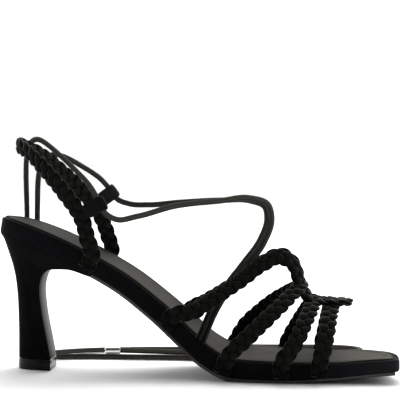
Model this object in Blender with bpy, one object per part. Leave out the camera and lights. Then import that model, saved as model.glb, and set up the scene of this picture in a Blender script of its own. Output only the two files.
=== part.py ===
"""A heeled sandal with plaited straps and ankle ties: the left shoe, standing empty on its sole.

+X points to the toe, -Y to the inner side of the foot, +Z up. The sizes and tables below are in
millimetres, and every mesh is scaled to metres as it is made.
"""
import math
from collections import namedtuple

import bmesh
import bpy
import numpy as np

METRES = 0.001
GAP = 0.3
SHARP_EDGE_DEG = 40.0
SAMPLES_PER_POINT = 30
# Middle of the standing shoe's box, on the floor: the origin of the part
ORIGIN = (0.2, 1.3, 0.0)

# Sole: one row for each section along the middle of the footbed's top, from heel to toe
SoleRow = namedtuple("SoleRow", "x z thick inner outer")
SOLE_ROWS = (
    SoleRow(-116.5, 90.2, 9.0, -5.0, 5.0),
    SoleRow(-114.5, 89.9, 9.0, -12.0, 12.0),
    SoleRow(-110.0, 89.0, 9.0, -18.5, 18.5),
    SoleRow(-103.0, 87.2, 9.0, -23.0, 23.0),
    SoleRow(-92.0, 83.6, 9.0, -26.0, 26.0),
    SoleRow(-78.0, 78.1, 9.2, -27.0, 27.5),
    SoleRow(-60.0, 69.5, 9.5, -26.5, 29.0),
    SoleRow(-40.0, 58.1, 9.5, -25.0, 31.0),
    SoleRow(-20.0, 43.1, 9.7, -24.5, 33.5),
    SoleRow(-2.0, 27.7, 9.7, -28.5, 36.8),
    SoleRow(10.0, 17.9, 9.9, -32.5, 38.0),
    SoleRow(23.0, 12.3, 10.1, -35.5, 39.0),
    SoleRow(38.0, 11.6, 9.7, -37.0, 38.5),
    SoleRow(60.0, 11.1, 9.1, -35.5, 34.5),
    SoleRow(80.0, 11.3, 7.7, -32.5, 31.0),
    SoleRow(94.0, 12.4, 7.3, -30.5, 28.0),
    SoleRow(103.5, 13.2, 7.1, -29.3, 23.0),
    SoleRow(111.0, 13.7, 7.0, -28.3, 15.0),
    SoleRow(115.3, 14.0, 7.0, -27.0, 6.0),
    SoleRow(118.0, 14.1, 7.0, -22.0, -8.0),
)
EDGE_ROUND = 1.2
DISH = 0.8
OUTSOLE = 1.7
OUTSOLE_INSET = 1.5
PRESSED_FLAT = 0.4
INSOLE = 0.8
INSOLE_INSET = 3.2
LEAST_KEPT = 0.55
SLOPE_SPAN = 1.0
RUN_CLEAR = 0.5

# Heel block: one row for each section, from the top lift up to the seat under the footbed
HeelRow = namedtuple("HeelRow", "back_x back_z front_x front_z spread")
HEEL_ROWS = (
    HeelRow(-106.2, 6.8, -85.7, 6.8, 0.0),
    HeelRow(-106.4, 21.0, -88.2, 19.0, 0.0),
    HeelRow(-107.0, 37.0, -91.3, 34.0, 0.02),
    HeelRow(-108.1, 50.0, -92.8, 47.0, 0.08),
    HeelRow(-109.9, 60.0, -91.4, 55.5, 0.2),
    HeelRow(-111.9, 67.0, -85.9, 60.2, 0.42),
    HeelRow(-113.9, 73.6, -75.5, 60.9, 0.75),
    HeelRow(-115.2, 77.4, -61.2, 57.2, 0.93),
)
HEEL_TIP_HALF = 11.5
HEEL_TIP_TAPER = 0.72
HEEL_ROUND = 0.5
HEEL_STATIONS = (0.02, 0.07, 0.16, 0.3, 0.5, 0.75, 1.0)
LIP_X = -56.0
SEAT_INSET = 0.5
LIFT_TOP = 6.5

# Plait: three strands that swing from edge to edge
PLAIT_PITCH = 6.2
STRAND_SWING = 2.85
STRAND_HALF = 2.15
STRAND_LIFT = 0.9
STRAND_THICK = 1.4
STRAND_REACH = 1.15
CORE_HALF = 0.4
FLANK = 0.88
FIRST_PHASE_DEG = 30.0
PHASE_STEP_DEG = 60.0
PLAIT_HALF = STRAND_SWING + STRAND_HALF
PLAIT_DEEP = STRAND_LIFT + STRAND_THICK
# Straps stand on the outside of the sole's wall, and lean over the foot above the wall's top
STANDING = GAP + PLAIT_DEEP
FOOT_ABOVE_SOLE = 0.4
FOOT_OVER_TOP = 1.0
UPRIGHT = 8.0
HAIRPIN_LEAN = 0.45
HAIRPIN_LEAN_RISE = 20.0
HAIRPIN_FLAT_FROM = 50.0
HAIRPIN_FLAT_AT = 76.0
HAIRPIN_FORWARD = 3.2

# Hairpin strap of the vamp: inner leg, from the sole's edge to the turn over the toes
RoutePoint = namedtuple("RoutePoint", "x y z")
HAIRPIN_FOOT_X = -12.0
HAIRPIN_INNER = (
    RoutePoint(-2.0, -28.0, 38.6),
    RoutePoint(8.0, -23.0, 44.7),
    RoutePoint(24.0, -15.0, 55.5),
    RoutePoint(38.5, -10.0, 66.2),
    RoutePoint(48.5, -8.0, 70.2),
    RoutePoint(55.0, -7.0, 66.4),
    RoutePoint(58.6, -7.0, 58.5),
    RoutePoint(61.0, -7.0, 51.2),
    RoutePoint(66.5, -7.0, 45.8),
    RoutePoint(76.5, -7.0, 44.2),
    RoutePoint(83.5, -5.0, 44.1),
)
HAIRPIN_TURN = RoutePoint(86.8, 0.0, 44.1)
OUTER_FORWARD = 4.0
OUTER_SPREAD = 5.0
OUTER_SHARE = 0.6

# Cross straps: where each stands on the sole's edge, and its crown under the hairpin
CrossStrap = namedtuple("CrossStrap", "name inner_x outer_x crown_x crown_z inner_lean outer_lean")
CROSS_STRAPS = (
    CrossStrap("instep", 19.6, 20.0, 60.0, 53.5, 1.05, 1.42),
    CrossStrap("ball", 51.0, 51.0, 67.8, 44.3, 0.8, 1.1),
    CrossStrap("toe", 72.4, 72.8, 78.2, 41.8, 0.8, 1.1),
)
CROSS_ANGLES_DEG = (15, 30, 45, 60, 75)

# Sling round the heel: inner side, from the sole's edge to the back
SLING_FOOT_X = -60.0
SLING_INNER = (
    RoutePoint(-61.9, -29.5, 78.5),
    RoutePoint(-66.6, -28.5, 92.5),
    RoutePoint(-77.4, -25.5, 106.5),
    RoutePoint(-88.4, -20.5, 118.0),
    RoutePoint(-99.2, -12.5, 127.5),
)
SLING_BACK = RoutePoint(-107.5, 0.0, 132.0)
SLING_OUTER_FORWARD = 3.7
SLING_CENTRE_X = -66.0
SLING_SIDE_SHARE = 1.4
KEEPER_INNER_Z = 94.3
KEEPER_OUTER_Z = 96.5
KEEPER_WIDE = 8.5
KEEPER_WALL = 1.2
KEEPER_SLOT = 8.9
KEEPER_CLEAR = 0.5
KEEPER_BACK = PLAIT_HALF + GAP + KEEPER_WALL

# Tie: a round cord doubled at the sole's inner edge, rising over the instep, then parting to the keepers
TIE_RADIUS = 1.6
TIE_FOOT_X = 3.2
TIE_FOOT_IN = 2.6
TIE_FOOT_UP = 2.6
TIE_STRAND_ASIDE = 1.3
TIE_RISE = (
    RoutePoint(10.6, -20.4, 39.5),
    RoutePoint(17.2, -12.6, 51.0),
    RoutePoint(27.6, -6.0, 65.0),
    RoutePoint(37.2, -2.0, 79.0),
)
TIE_PARTING = (
    RoutePoint(41.0, 0.8, 91.0),
    RoutePoint(39.0, 4.0, 99.5),
    RoutePoint(29.0, 8.0, 103.0),
    RoutePoint(13.0, 14.0, 102.0),
)
TIE_TO_INNER_KEEPER = (
    RoutePoint(-13.0, -22.0, 99.2),
    RoutePoint(-34.0, -27.5, 93.1),
)
TIE_TO_OUTER_KEEPER = (
    RoutePoint(-13.0, 22.0, 99.4),
    RoutePoint(-34.0, 27.5, 97.1),
)
TIE_STEP = 6.5
TIE_SIDES = 8
TIE_FACING = (0.31, 0.17, 0.93)
KEEPER_BEND_DOWN = 12.0
KEEPER_BEND_FRONT = 4.5
KEEPER_ENTER = 4.5
KEEPER_LEAVE = 9.0
# Free ends, after each keeper: over the sling's outer strap, down behind the heel, then along the floor
FLOOR_TIE_Z = TIE_RADIUS + 0.2
TIE_END_INNER = (
    RoutePoint(-72.0, -17.0, 119.0),
    RoutePoint(-84.0, -5.0, 128.0),
    RoutePoint(-93.0, 4.5, 133.8),
    RoutePoint(-99.5, 11.3, 136.4),
    RoutePoint(-104.3, 16.8, 133.8),
    RoutePoint(-106.8, 20.7, 127.2),
    RoutePoint(-107.6, 22.8, 118.0),
    RoutePoint(-107.4, 23.9, 105.0),
    RoutePoint(-107.0, 24.7, 93.0),
    RoutePoint(-106.8, 24.9, 77.0),
    RoutePoint(-106.8, 25.0, 51.0),
    RoutePoint(-106.8, 25.1, 28.0),
    RoutePoint(-106.8, 25.6, 15.0),
    RoutePoint(-106.6, 28.4, 6.4),
    RoutePoint(-105.8, 33.4, 2.6),
    RoutePoint(-103.6, 40.6, FLOOR_TIE_Z),
    RoutePoint(-98.0, 51.0, FLOOR_TIE_Z),
    RoutePoint(-88.0, 62.5, FLOOR_TIE_Z),
    RoutePoint(-72.0, 73.0, FLOOR_TIE_Z),
    RoutePoint(-50.0, 81.5, FLOOR_TIE_Z),
    RoutePoint(-24.0, 88.0, FLOOR_TIE_Z),
    RoutePoint(4.0, 92.0, FLOOR_TIE_Z),
    RoutePoint(36.0, 92.0, FLOOR_TIE_Z),
    RoutePoint(64.0, 91.0, FLOOR_TIE_Z),
    RoutePoint(82.0, 93.0, FLOOR_TIE_Z),
    RoutePoint(94.5, 98.5, FLOOR_TIE_Z),
    RoutePoint(98.5, 108.0, FLOOR_TIE_Z),
    RoutePoint(93.0, 117.0, FLOOR_TIE_Z),
    RoutePoint(79.0, 120.5, FLOOR_TIE_Z),
    RoutePoint(54.0, 116.0, FLOOR_TIE_Z),
    RoutePoint(26.0, 111.5, FLOOR_TIE_Z),
    RoutePoint(8.0, 111.3, 2.3),
    RoutePoint(-4.0, 112.0, 2.75),
)
TIE_END_OUTER = (
    RoutePoint(-73.0, 23.8, 119.4),
    RoutePoint(-83.0, 22.4, 125.0),
    RoutePoint(-90.0, 23.2, 127.3),
    RoutePoint(-96.0, 25.8, 125.8),
    RoutePoint(-99.6, 28.0, 120.4),
    RoutePoint(-101.0, 28.8, 113.0),
    RoutePoint(-101.3, 28.9, 99.0),
    RoutePoint(-101.3, 28.9, 77.0),
    RoutePoint(-101.3, 28.9, 51.0),
    RoutePoint(-101.2, 29.0, 28.0),
    RoutePoint(-100.8, 29.3, 15.0),
    RoutePoint(-98.8, 31.0, 6.6),
    RoutePoint(-95.0, 33.8, 2.7),
    RoutePoint(-89.6, 37.0, FLOOR_TIE_Z),
    RoutePoint(-80.0, 41.0, FLOOR_TIE_Z),
    RoutePoint(-64.0, 44.5, FLOOR_TIE_Z),
    RoutePoint(-42.0, 46.5, FLOOR_TIE_Z),
    RoutePoint(-18.0, 49.0, FLOOR_TIE_Z),
    RoutePoint(12.0, 48.0, FLOOR_TIE_Z),
    RoutePoint(42.0, 50.0, FLOOR_TIE_Z),
    RoutePoint(70.0, 49.0, FLOOR_TIE_Z),
    RoutePoint(90.0, 50.0, FLOOR_TIE_Z),
    RoutePoint(102.0, 55.0, FLOOR_TIE_Z),
    RoutePoint(106.5, 64.5, FLOOR_TIE_Z),
    RoutePoint(101.0, 74.0, FLOOR_TIE_Z),
    RoutePoint(87.0, 78.0, FLOOR_TIE_Z),
    RoutePoint(62.0, 74.0, FLOOR_TIE_Z),
    RoutePoint(34.0, 71.0, FLOOR_TIE_Z),
    RoutePoint(6.0, 73.0, FLOOR_TIE_Z),
    RoutePoint(-20.0, 74.5, FLOOR_TIE_Z),
    RoutePoint(-42.0, 72.5, 2.3),
    RoutePoint(-54.0, 69.5, 2.75),
)
TIE_END_STEP = 1.3
TIE_END_POINTS = 6
EASING = 20
AgletRow = namedtuple("AgletRow", "along radius")
AGLET_ROWS = (
    AgletRow(0.0, 2.1),
    AgletRow(0.5, 2.5),
    AgletRow(8.6, 2.5),
    AgletRow(9.3, 2.0),
    AgletRow(9.5, 1.2),
)
AGLET_SIDES = 12

Finish = namedtuple("Finish", "colour roughness metallic")
FINISHES = {
    "suede": Finish((0.010, 0.009, 0.011), 0.95, 0.0),
    "lining": Finish((0.045, 0.042, 0.040), 0.75, 0.0),
    "sole_sheet": Finish((0.030, 0.024, 0.022), 0.6, 0.0),
    "lift": Finish((0.012, 0.012, 0.013), 0.4, 0.0),
    "cord": Finish((0.016, 0.015, 0.017), 0.9, 0.0),
    "nickel": Finish((0.75, 0.75, 0.76), 0.15, 1.0),
}


def clear_scene():
    for item in list(bpy.data.objects):
        bpy.data.objects.remove(item, do_unlink=True)


def material(finish_name):
    """The finish of that name, made once."""
    made = bpy.data.materials.get(finish_name)
    if made:
        return made
    finish = FINISHES[finish_name]
    made = bpy.data.materials.new(finish_name)
    made.use_nodes = True
    shader = made.node_tree.nodes["Principled BSDF"]
    shader.inputs["Base Color"].default_value = (*finish.colour, 1.0)
    shader.inputs["Roughness"].default_value = finish.roughness
    shader.inputs["Metallic"].default_value = finish.metallic
    return made


def placed(point):
    """A point of the tables, in metres from the part's origin."""
    return (np.asarray(point) - np.array(ORIGIN)) * METRES


def strip_cap(loop):
    """Faces over a ring that is not flat, from side to side, with its first point at one end."""
    count = len(loop)
    faces = []
    for i in range(count // 2):
        corners = (loop[i], loop[i + 1], loop[count - i - 1], loop[(count - i) % count])
        faces.append(tuple(dict.fromkeys(corners)))
    return faces


def solid_from_rings(name, rings, finish_name, last_cap=lambda loop: [loop]):
    """A closed solid through rings of equal count, with its first and last ring capped."""
    shape = bmesh.new()
    loops = []
    for ring in rings:
        loops.append([shape.verts.new(placed(point)) for point in ring])
    count = len(loops[0])
    for near, far in zip(loops, loops[1:]):
        for i in range(count):
            j = (i + 1) % count
            shape.faces.new((near[i], near[j], far[j], far[i]))
    shape.faces.new(loops[0])
    for face in last_cap(loops[-1]):
        shape.faces.new(face)
    bmesh.ops.recalc_face_normals(shape, faces=shape.faces)
    mesh = bpy.data.meshes.new(name)
    shape.to_mesh(mesh)
    shape.free()
    mesh.shade_smooth()
    mesh.set_sharp_from_angle(angle=math.radians(SHARP_EDGE_DEG))
    mesh.materials.append(material(finish_name))
    made = bpy.data.objects.new(name, mesh)
    bpy.context.scene.collection.objects.link(made)
    return made


def join_into(main, others):
    """Unites other solids with the main one, which alone stays visible."""
    for other in others:
        other.hide_render = True
        other.display_type = "WIRE"
        union = main.modifiers.new("join_" + other.name, "BOOLEAN")
        union.operation = "UNION"
        union.solver = "EXACT"
        union.object = other


def hermite(knots, values, slopes, at):
    """Cubic curve through values at the knots, with the slopes given there."""
    span = np.clip(np.searchsorted(knots, at, side="right") - 1, 0, len(knots) - 2)
    width = knots[span + 1] - knots[span]
    t = (at - knots[span]) / width
    rise = (2 * t**3 - 3 * t**2 + 1) * values[span] + (3 * t**2 - 2 * t**3) * values[span + 1]
    bend = (t**3 - 2 * t**2 + t) * slopes[span] + (t**3 - t**2) * slopes[span + 1]
    return rise + bend * width


def even_slopes(knots, values):
    """Slopes that keep a table's curve from swinging past its rows."""
    steps = np.diff(values) / np.diff(knots)
    slopes = np.empty(len(values))
    slopes[0] = steps[0]
    slopes[-1] = steps[-1]
    for i in range(1, len(values) - 1):
        before, after = steps[i - 1], steps[i]
        slopes[i] = 2 * before * after / (before + after) if before * after > 0 else 0.0
    return slopes


def smooth_path(points, step):
    """Points about a step apart on a smooth curve through a route's points."""
    points = np.asarray(points, float)
    knots = np.concatenate(([0.0], np.cumsum(np.linalg.norm(np.diff(points, axis=0), axis=1))))
    slopes = np.gradient(points, knots, axis=0)
    fine = np.linspace(0.0, knots[-1], SAMPLES_PER_POINT * len(points))
    curve = np.stack([hermite(knots, points[:, k], slopes[:, k], fine) for k in range(3)], axis=1)
    run = np.concatenate(([0.0], np.cumsum(np.linalg.norm(np.diff(curve, axis=0), axis=1))))
    even = np.linspace(0.0, run[-1], max(2, round(run[-1] / step)) + 1)
    return np.stack([np.interp(even, run, curve[:, k]) for k in range(3)], axis=1)


# Sole

SOLE_TABLE = np.array(SOLE_ROWS)
SOLE_KNOTS = np.concatenate(
    ([0.0], np.cumsum(np.hypot(np.diff(SOLE_TABLE[:, 0]), np.diff(SOLE_TABLE[:, 1])))))
SOLE_SLOPES = [even_slopes(SOLE_KNOTS, SOLE_TABLE[:, k]) for k in range(len(SoleRow._fields))]
SOLE_RUN = SOLE_KNOTS[-1]
Section = namedtuple("Section", "x z up_x up_z thick inner outer")


def sole_at(run):
    """The footbed's section at that run along its top from the heel."""
    def column(k, at):
        return float(hermite(SOLE_KNOTS, SOLE_TABLE[:, k], SOLE_SLOPES[k], np.array(at)))
    before = max(run - SLOPE_SPAN, 0.0)
    after = min(run + SLOPE_SPAN, SOLE_RUN)
    ahead_x = column(0, after) - column(0, before)
    ahead_z = column(1, after) - column(1, before)
    length = math.hypot(ahead_x, ahead_z)
    return Section(column(0, run), column(1, run), -ahead_z / length, ahead_x / length,
                   column(2, run), column(3, run), column(4, run))


def sole_point(section, y, depth):
    return np.array([section.x - section.up_x * depth, y, section.z - section.up_z * depth])


def sole_runs(start=0.0, end=SOLE_RUN):
    """Runs of the rows, and of one section between each two, in a stretch of the sole."""
    runs = np.sort(np.concatenate((SOLE_KNOTS, (SOLE_KNOTS[1:] + SOLE_KNOTS[:-1]) / 2)))
    within = runs[(runs > start + RUN_CLEAR) & (runs < end - RUN_CLEAR)]
    return np.concatenate(([start], within, [end]))


def run_at_x(x):
    return float(np.interp(x, SOLE_TABLE[:, 0], SOLE_KNOTS))


def footbed_ring(section):
    inner, outer, thick = section.inner, section.outer, section.thick
    middle = (inner + outer) / 2
    profile = (
        (inner + EDGE_ROUND, thick), (inner, thick - EDGE_ROUND), (inner, EDGE_ROUND),
        (inner + EDGE_ROUND, 0.0), (middle, DISH), (outer - EDGE_ROUND, 0.0),
        (outer, EDGE_ROUND), (outer, thick - EDGE_ROUND), (outer - EDGE_ROUND, thick),
    )
    return [sole_point(section, y, depth) for y, depth in profile]


def make_footbed():
    return solid_from_rings("footbed", [footbed_ring(sole_at(run)) for run in sole_runs()], "suede")


def inset_edges(section, inset):
    """The section's edges drawn in towards its middle."""
    middle = (section.inner + section.outer) / 2
    half = (section.outer - section.inner) / 2
    kept = max(half - inset, LEAST_KEPT * half)
    return middle - kept, middle, middle + kept


def make_insole():
    rings = []
    end = SOLE_RUN - INSOLE_INSET
    for run in sole_runs(INSOLE_INSET, end):
        section = sole_at(run)
        shape_run = SOLE_RUN * (run - INSOLE_INSET) / (end - INSOLE_INSET)
        inner, middle, outer = inset_edges(sole_at(shape_run), INSOLE_INSET)
        inner = max(inner, section.inner + EDGE_ROUND)
        outer = min(outer, section.outer - EDGE_ROUND)
        floor_middle = DISH - GAP
        profile = (
            (inner, -GAP), (inner + INSOLE / 2, -GAP - INSOLE), (middle, floor_middle - INSOLE),
            (outer - INSOLE / 2, -GAP - INSOLE), (outer, -GAP), (middle, floor_middle),
        )
        rings.append([sole_point(section, y, depth) for y, depth in profile])
    return solid_from_rings("insole", rings, "lining")


def make_outsole():
    rings = []
    start = run_at_x(LIP_X) + GAP
    for run in sole_runs(start, SOLE_RUN - OUTSOLE_INSET):
        section = sole_at(run)
        inner, middle, outer = inset_edges(section, OUTSOLE_INSET)
        top = section.thick + GAP
        profile = ((inner, top), (middle, top), (outer, top),
                   (outer, top + OUTSOLE), (middle, top + OUTSOLE), (inner, top + OUTSOLE))
        ring = [sole_point(section, y, depth) for y, depth in profile]
        for point in ring[3:]:
            if point[2] < PRESSED_FLAT:
                point[2] = 0.0
        rings.append(ring)
    return solid_from_rings("outsole", rings, "sole_sheet")


# Heel

def heel_tip_half(along):
    """Half width of the heel's foot, rounded at the back and widest at the breast."""
    round_part = math.sqrt(1.0 - (1.0 - min(along / HEEL_ROUND, 1.0)) ** 2)
    return HEEL_TIP_HALF * (HEEL_TIP_TAPER + (1.0 - HEEL_TIP_TAPER) * along) * round_part


def heel_loop(point_at):
    """A ring from the back round the outer side, the breast and the inner side."""
    ring = [point_at(0.0, 0)]
    ring += [point_at(along, 1) for along in HEEL_STATIONS]
    ring += [point_at(1.0, 0)]
    ring += [point_at(along, -1) for along in reversed(HEEL_STATIONS)]
    return ring


def seat_point(along, side):
    section = sole_at(SEAT_INSET + along * (run_at_x(LIP_X) - SEAT_INSET))
    y = 0.0
    if side > 0:
        y = section.outer - SEAT_INSET
    elif side < 0:
        y = section.inner + SEAT_INSET
    return sole_point(section, y, section.thick + GAP)


def heel_row_point(row, along, side):
    seat = seat_point(along, side)
    seat_back, seat_front = seat_point(0.0, 0), seat_point(1.0, 0)
    seat_line = seat_back + (seat_front - seat_back) * along
    x = row.back_x + (row.front_x - row.back_x) * along
    z = row.back_z + (row.front_z - row.back_z) * along
    x += row.spread * (seat[0] - seat_line[0])
    z += row.spread * (seat[2] - seat_line[2])
    y_foot = side * heel_tip_half(along)
    return np.array([x, y_foot + row.spread * (seat[1] - y_foot), z])


def heel_rows_between():
    """The heel's rows with one more between each two, on smooth curves through the columns."""
    table = np.array(HEEL_ROWS)
    knots = np.arange(len(table), dtype=float)
    fine = np.linspace(0.0, knots[-1], 2 * len(table) - 1)
    columns = [hermite(knots, table[:, k], even_slopes(knots, table[:, k]), fine)
               for k in range(len(HeelRow._fields))]
    return [HeelRow(*values) for values in zip(*columns)]


def make_heel():
    rings = []
    for row in heel_rows_between():
        rings.append(heel_loop(lambda along, side, row=row: heel_row_point(row, along, side)))
    rings.append(heel_loop(seat_point))
    return solid_from_rings("heel", rings, "suede", last_cap=strip_cap)


def make_heel_tip():
    row = HEEL_ROWS[0]

    def at_height(z):
        ring = np.array(heel_loop(lambda along, side: heel_row_point(row, along, side)))
        ring[:, 2] = z
        return ring
    return solid_from_rings("heel_tip", [at_height(0.0), at_height(LIFT_TOP)], "lift")


# Plaited straps

def plait_profile(phase):
    """Outline of a three-strand plait at that phase, as (across, out) points."""
    turns = phase + np.arange(3) * 2.0 * math.pi / 3.0
    across = STRAND_SWING * np.sin(turns)
    lift = STRAND_LIFT * np.sin(2.0 * turns)
    reach = STRAND_REACH * STRAND_HALF

    def crest(at, side):
        bulge = np.sqrt(np.clip(1.0 - ((at - across) / reach) ** 2, 0.0, 1.0))
        covered = np.where(bulge > 0.0, side * lift + STRAND_THICK * bulge, CORE_HALF)
        return side * covered.max()
    right, left = across.argmax(), across.argmin()
    flank = FLANK * STRAND_SWING
    return (
        (across[right] + STRAND_HALF, lift[right]), (flank, crest(flank, 1)), (0.0, crest(0.0, 1)),
        (-flank, crest(-flank, 1)), (across[left] - STRAND_HALF, lift[left]),
        (-flank, crest(-flank, -1)), (0.0, crest(0.0, -1)), (flank, crest(flank, -1)),
    )


def strap_frames(path, outward):
    """Tangent, outward normal and width direction at each point of a strap's path."""
    ahead = np.gradient(path, axis=0)
    ahead /= np.linalg.norm(ahead, axis=1)[:, None]
    out = np.array([outward(point) for point in path])
    out -= ahead * np.sum(out * ahead, axis=1)[:, None]
    out /= np.linalg.norm(out, axis=1)[:, None]
    return ahead, out, np.cross(ahead, out)


def make_plait(name, route, outward):
    path = smooth_path(route, PLAIT_PITCH / 2)
    ahead, out, across = strap_frames(path, outward)
    rings = []
    for i, point in enumerate(path):
        profile = plait_profile(math.radians(FIRST_PHASE_DEG + PHASE_STEP_DEG * i))
        rings.append([point + across[i] * w + out[i] * h for w, h in profile])
    return solid_from_rings(name, rings, "suede")


def wall_foot(x, side, standing):
    """A strap's first two points, up the sole's side wall: by the outsole and at the top edge."""
    section = sole_at(run_at_x(x))
    edge = section.outer + standing if side > 0 else section.inner - standing
    low = sole_point(section, edge, section.thick - FOOT_ABOVE_SOLE)
    return [low, sole_point(section, edge, -FOOT_OVER_TOP)]


def outward_of_foot(point):
    """Away from the middle of the foot: sideways low down, and more and more upwards."""
    sole_z = sole_at(run_at_x(point[0])).z
    return np.array([0.0, point[1], max(point[2] - sole_z - UPRIGHT, 0.0)])


def outward_of_hairpin(point):
    """Sideways along the legs, forwards where they drop, and upwards over the toes."""
    side = 1.0 if point[1] > 0 else -1.0
    over = point[2] - sole_at(run_at_x(point[0])).z - UPRIGHT
    lean = HAIRPIN_LEAN * min(max(over / HAIRPIN_LEAN_RISE, 0.0), 1.0)
    flat = (point[0] - HAIRPIN_FLAT_FROM) / (HAIRPIN_FLAT_AT - HAIRPIN_FLAT_FROM)
    flat = min(max(flat, 0.0), 1.0)
    forward = HAIRPIN_FORWARD * flat * (1.0 - flat)
    return np.array([forward, side * (1.0 - flat), lean + (1.0 - lean) * flat])


def outward_of_heel(point):
    return np.array([point[0] - SLING_CENTRE_X, SLING_SIDE_SHARE * point[1], 0.0])


def hairpin_route():
    inner = wall_foot(HAIRPIN_FOOT_X, -1, STANDING) + [np.array(p) for p in HAIRPIN_INNER]
    outer = [np.array((p.x, -p.y, p.z)) for p in HAIRPIN_INNER]
    reach = HAIRPIN_TURN.x - HAIRPIN_FOOT_X
    for point in outer:
        nearness = max(0.0, 1.0 - (point[0] - HAIRPIN_FOOT_X) / (OUTER_SHARE * reach))
        point[0] += OUTER_FORWARD * nearness
        point[1] += OUTER_SPREAD * nearness ** 2
    outer = wall_foot(HAIRPIN_FOOT_X + OUTER_FORWARD, 1, STANDING) + outer
    return inner + [np.array(HAIRPIN_TURN)] + outer[::-1]


def cross_strap_side(strap, side):
    """From the sole's edge up a quarter of an ellipse to the strap's crown."""
    foot_x, lean = strap.inner_x, strap.inner_lean
    if side > 0:
        foot_x, lean = strap.outer_x, strap.outer_lean
    foot = wall_foot(foot_x, side, STANDING)
    start = foot[-1]
    rising = []
    for angle in CROSS_ANGLES_DEG:
        turn = math.radians(angle)
        rise = math.sin(turn)
        rising.append(np.array([
            start[0] + (strap.crown_x - start[0]) * rise ** lean,
            start[1] * math.cos(turn),
            start[2] + (strap.crown_z - start[2]) * rise,
        ]))
    return foot + rising


def make_vamp():
    vamp = make_plait("vamp", hairpin_route(), outward_of_hairpin)
    crosses = []
    for strap in CROSS_STRAPS:
        crown = [np.array([strap.crown_x, 0.0, strap.crown_z])]
        route = cross_strap_side(strap, -1) + crown + cross_strap_side(strap, 1)[::-1]
        crosses.append(make_plait("cross_strap_" + strap.name, route, outward_of_foot))
    join_into(vamp, crosses)
    return vamp


def sling_route():
    inner = wall_foot(SLING_FOOT_X, -1, STANDING) + [np.array(p) for p in SLING_INNER]
    outer = [np.array((p.x, -p.y, p.z)) for p in SLING_INNER]
    for point in outer:
        point[0] += SLING_OUTER_FORWARD * (SLING_BACK.z - point[2]) / (SLING_BACK.z - SLING_INNER[0].z)
    outer = wall_foot(SLING_FOOT_X + SLING_OUTER_FORWARD, 1, STANDING) + outer
    return inner + [np.array(SLING_BACK)] + outer[::-1]


def make_sling():
    return make_plait("sling", sling_route(), outward_of_heel)


# Keepers and ties

SlingFrame = namedtuple("SlingFrame", "centre up out front")


def sling_frame(side, height):
    """The sling's middle at a height on one side, and its directions up, outward and to its front edge."""
    path = smooth_path(sling_route(), PLAIT_PITCH / 2)
    ahead, out, across = strap_frames(path, outward_of_heel)
    half = len(path) // 2
    rows = range(half) if side < 0 else range(half, len(path))
    i = min(rows, key=lambda k: abs(path[k][2] - height))
    up = ahead[i] if ahead[i][2] > 0 else -ahead[i]
    front = across[i] if across[i][0] > 0 else -across[i]
    return SlingFrame(path[i], up, out[i], front)


def keeper_frame(side):
    return sling_frame(side, KEEPER_INNER_Z if side < 0 else KEEPER_OUTER_Z)


def keeper_hole(side):
    """The tie's place in a keeper, at the front of its loop."""
    frame = keeper_frame(side)
    return frame.centre + frame.front * (KEEPER_BACK + KEEPER_SLOT - KEEPER_CLEAR - TIE_RADIUS)


def make_keeper(name, side):
    frame = keeper_frame(side)
    back = KEEPER_BACK
    fore = KEEPER_BACK + KEEPER_SLOT
    deep = TIE_RADIUS + KEEPER_CLEAR

    def band(height, wall):
        corner = KEEPER_WALL + wall
        outline = []
        for u, v, u_sign, v_sign in ((fore, deep, 1, 1), (back, deep, -1, 1),
                                     (back, -deep, -1, -1), (fore, -deep, 1, -1)):
            far_u, far_v = u + u_sign * wall, v + v_sign * wall
            first, second = (far_u, far_v - v_sign * corner), (far_u - u_sign * corner, far_v)
            outline += [first, second] if u_sign * v_sign > 0 else [second, first]
        return [frame.centre + frame.up * height + frame.front * u + frame.out * v for u, v in outline]
    half = KEEPER_WIDE / 2
    rings = [band(-half, 0.0), band(-half, KEEPER_WALL), band(half, KEEPER_WALL), band(half, 0.0)]
    shape = bmesh.new()
    loops = [[shape.verts.new(placed(point)) for point in ring] for ring in rings]
    for k in range(len(loops)):
        near, far = loops[k], loops[(k + 1) % len(loops)]
        for i in range(len(near)):
            j = (i + 1) % len(near)
            shape.faces.new((near[i], near[j], far[j], far[i]))
    bmesh.ops.recalc_face_normals(shape, faces=shape.faces)
    mesh = bpy.data.meshes.new(name)
    shape.to_mesh(mesh)
    shape.free()
    mesh.materials.append(material("suede"))
    made = bpy.data.objects.new(name, mesh)
    bpy.context.scene.collection.objects.link(made)
    return made


def tie_rise(side):
    """One strand of the doubled part, from the sole's inner edge, to one side of the pair's middle."""
    section = sole_at(run_at_x(TIE_FOOT_X))
    foot = sole_point(section, section.inner + TIE_FOOT_IN, -TIE_FOOT_UP)
    middle = np.array([foot] + [np.array(p) for p in TIE_RISE])
    ahead = np.gradient(middle, axis=0)
    aside = np.stack([ahead[:, 2], np.zeros(len(middle)), -ahead[:, 0]], axis=1)
    aside /= np.linalg.norm(aside, axis=1)[:, None]
    return list(middle + side * TIE_STRAND_ASIDE * aside)


def tie_instep_route(side):
    """From the sole's inner edge, over the instep, into the keeper on one side."""
    parting = [np.array((p.x, side * p.y, p.z)) for p in TIE_PARTING]
    parting += [np.array(p) for p in (TIE_TO_INNER_KEEPER if side < 0 else TIE_TO_OUTER_KEEPER)]
    frame, hole = keeper_frame(side), keeper_hole(side)
    bend = hole - frame.up * KEEPER_BEND_DOWN + frame.front * KEEPER_BEND_FRONT
    return tie_rise(side) + parting + [bend, hole - frame.up * KEEPER_ENTER, hole]


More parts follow.
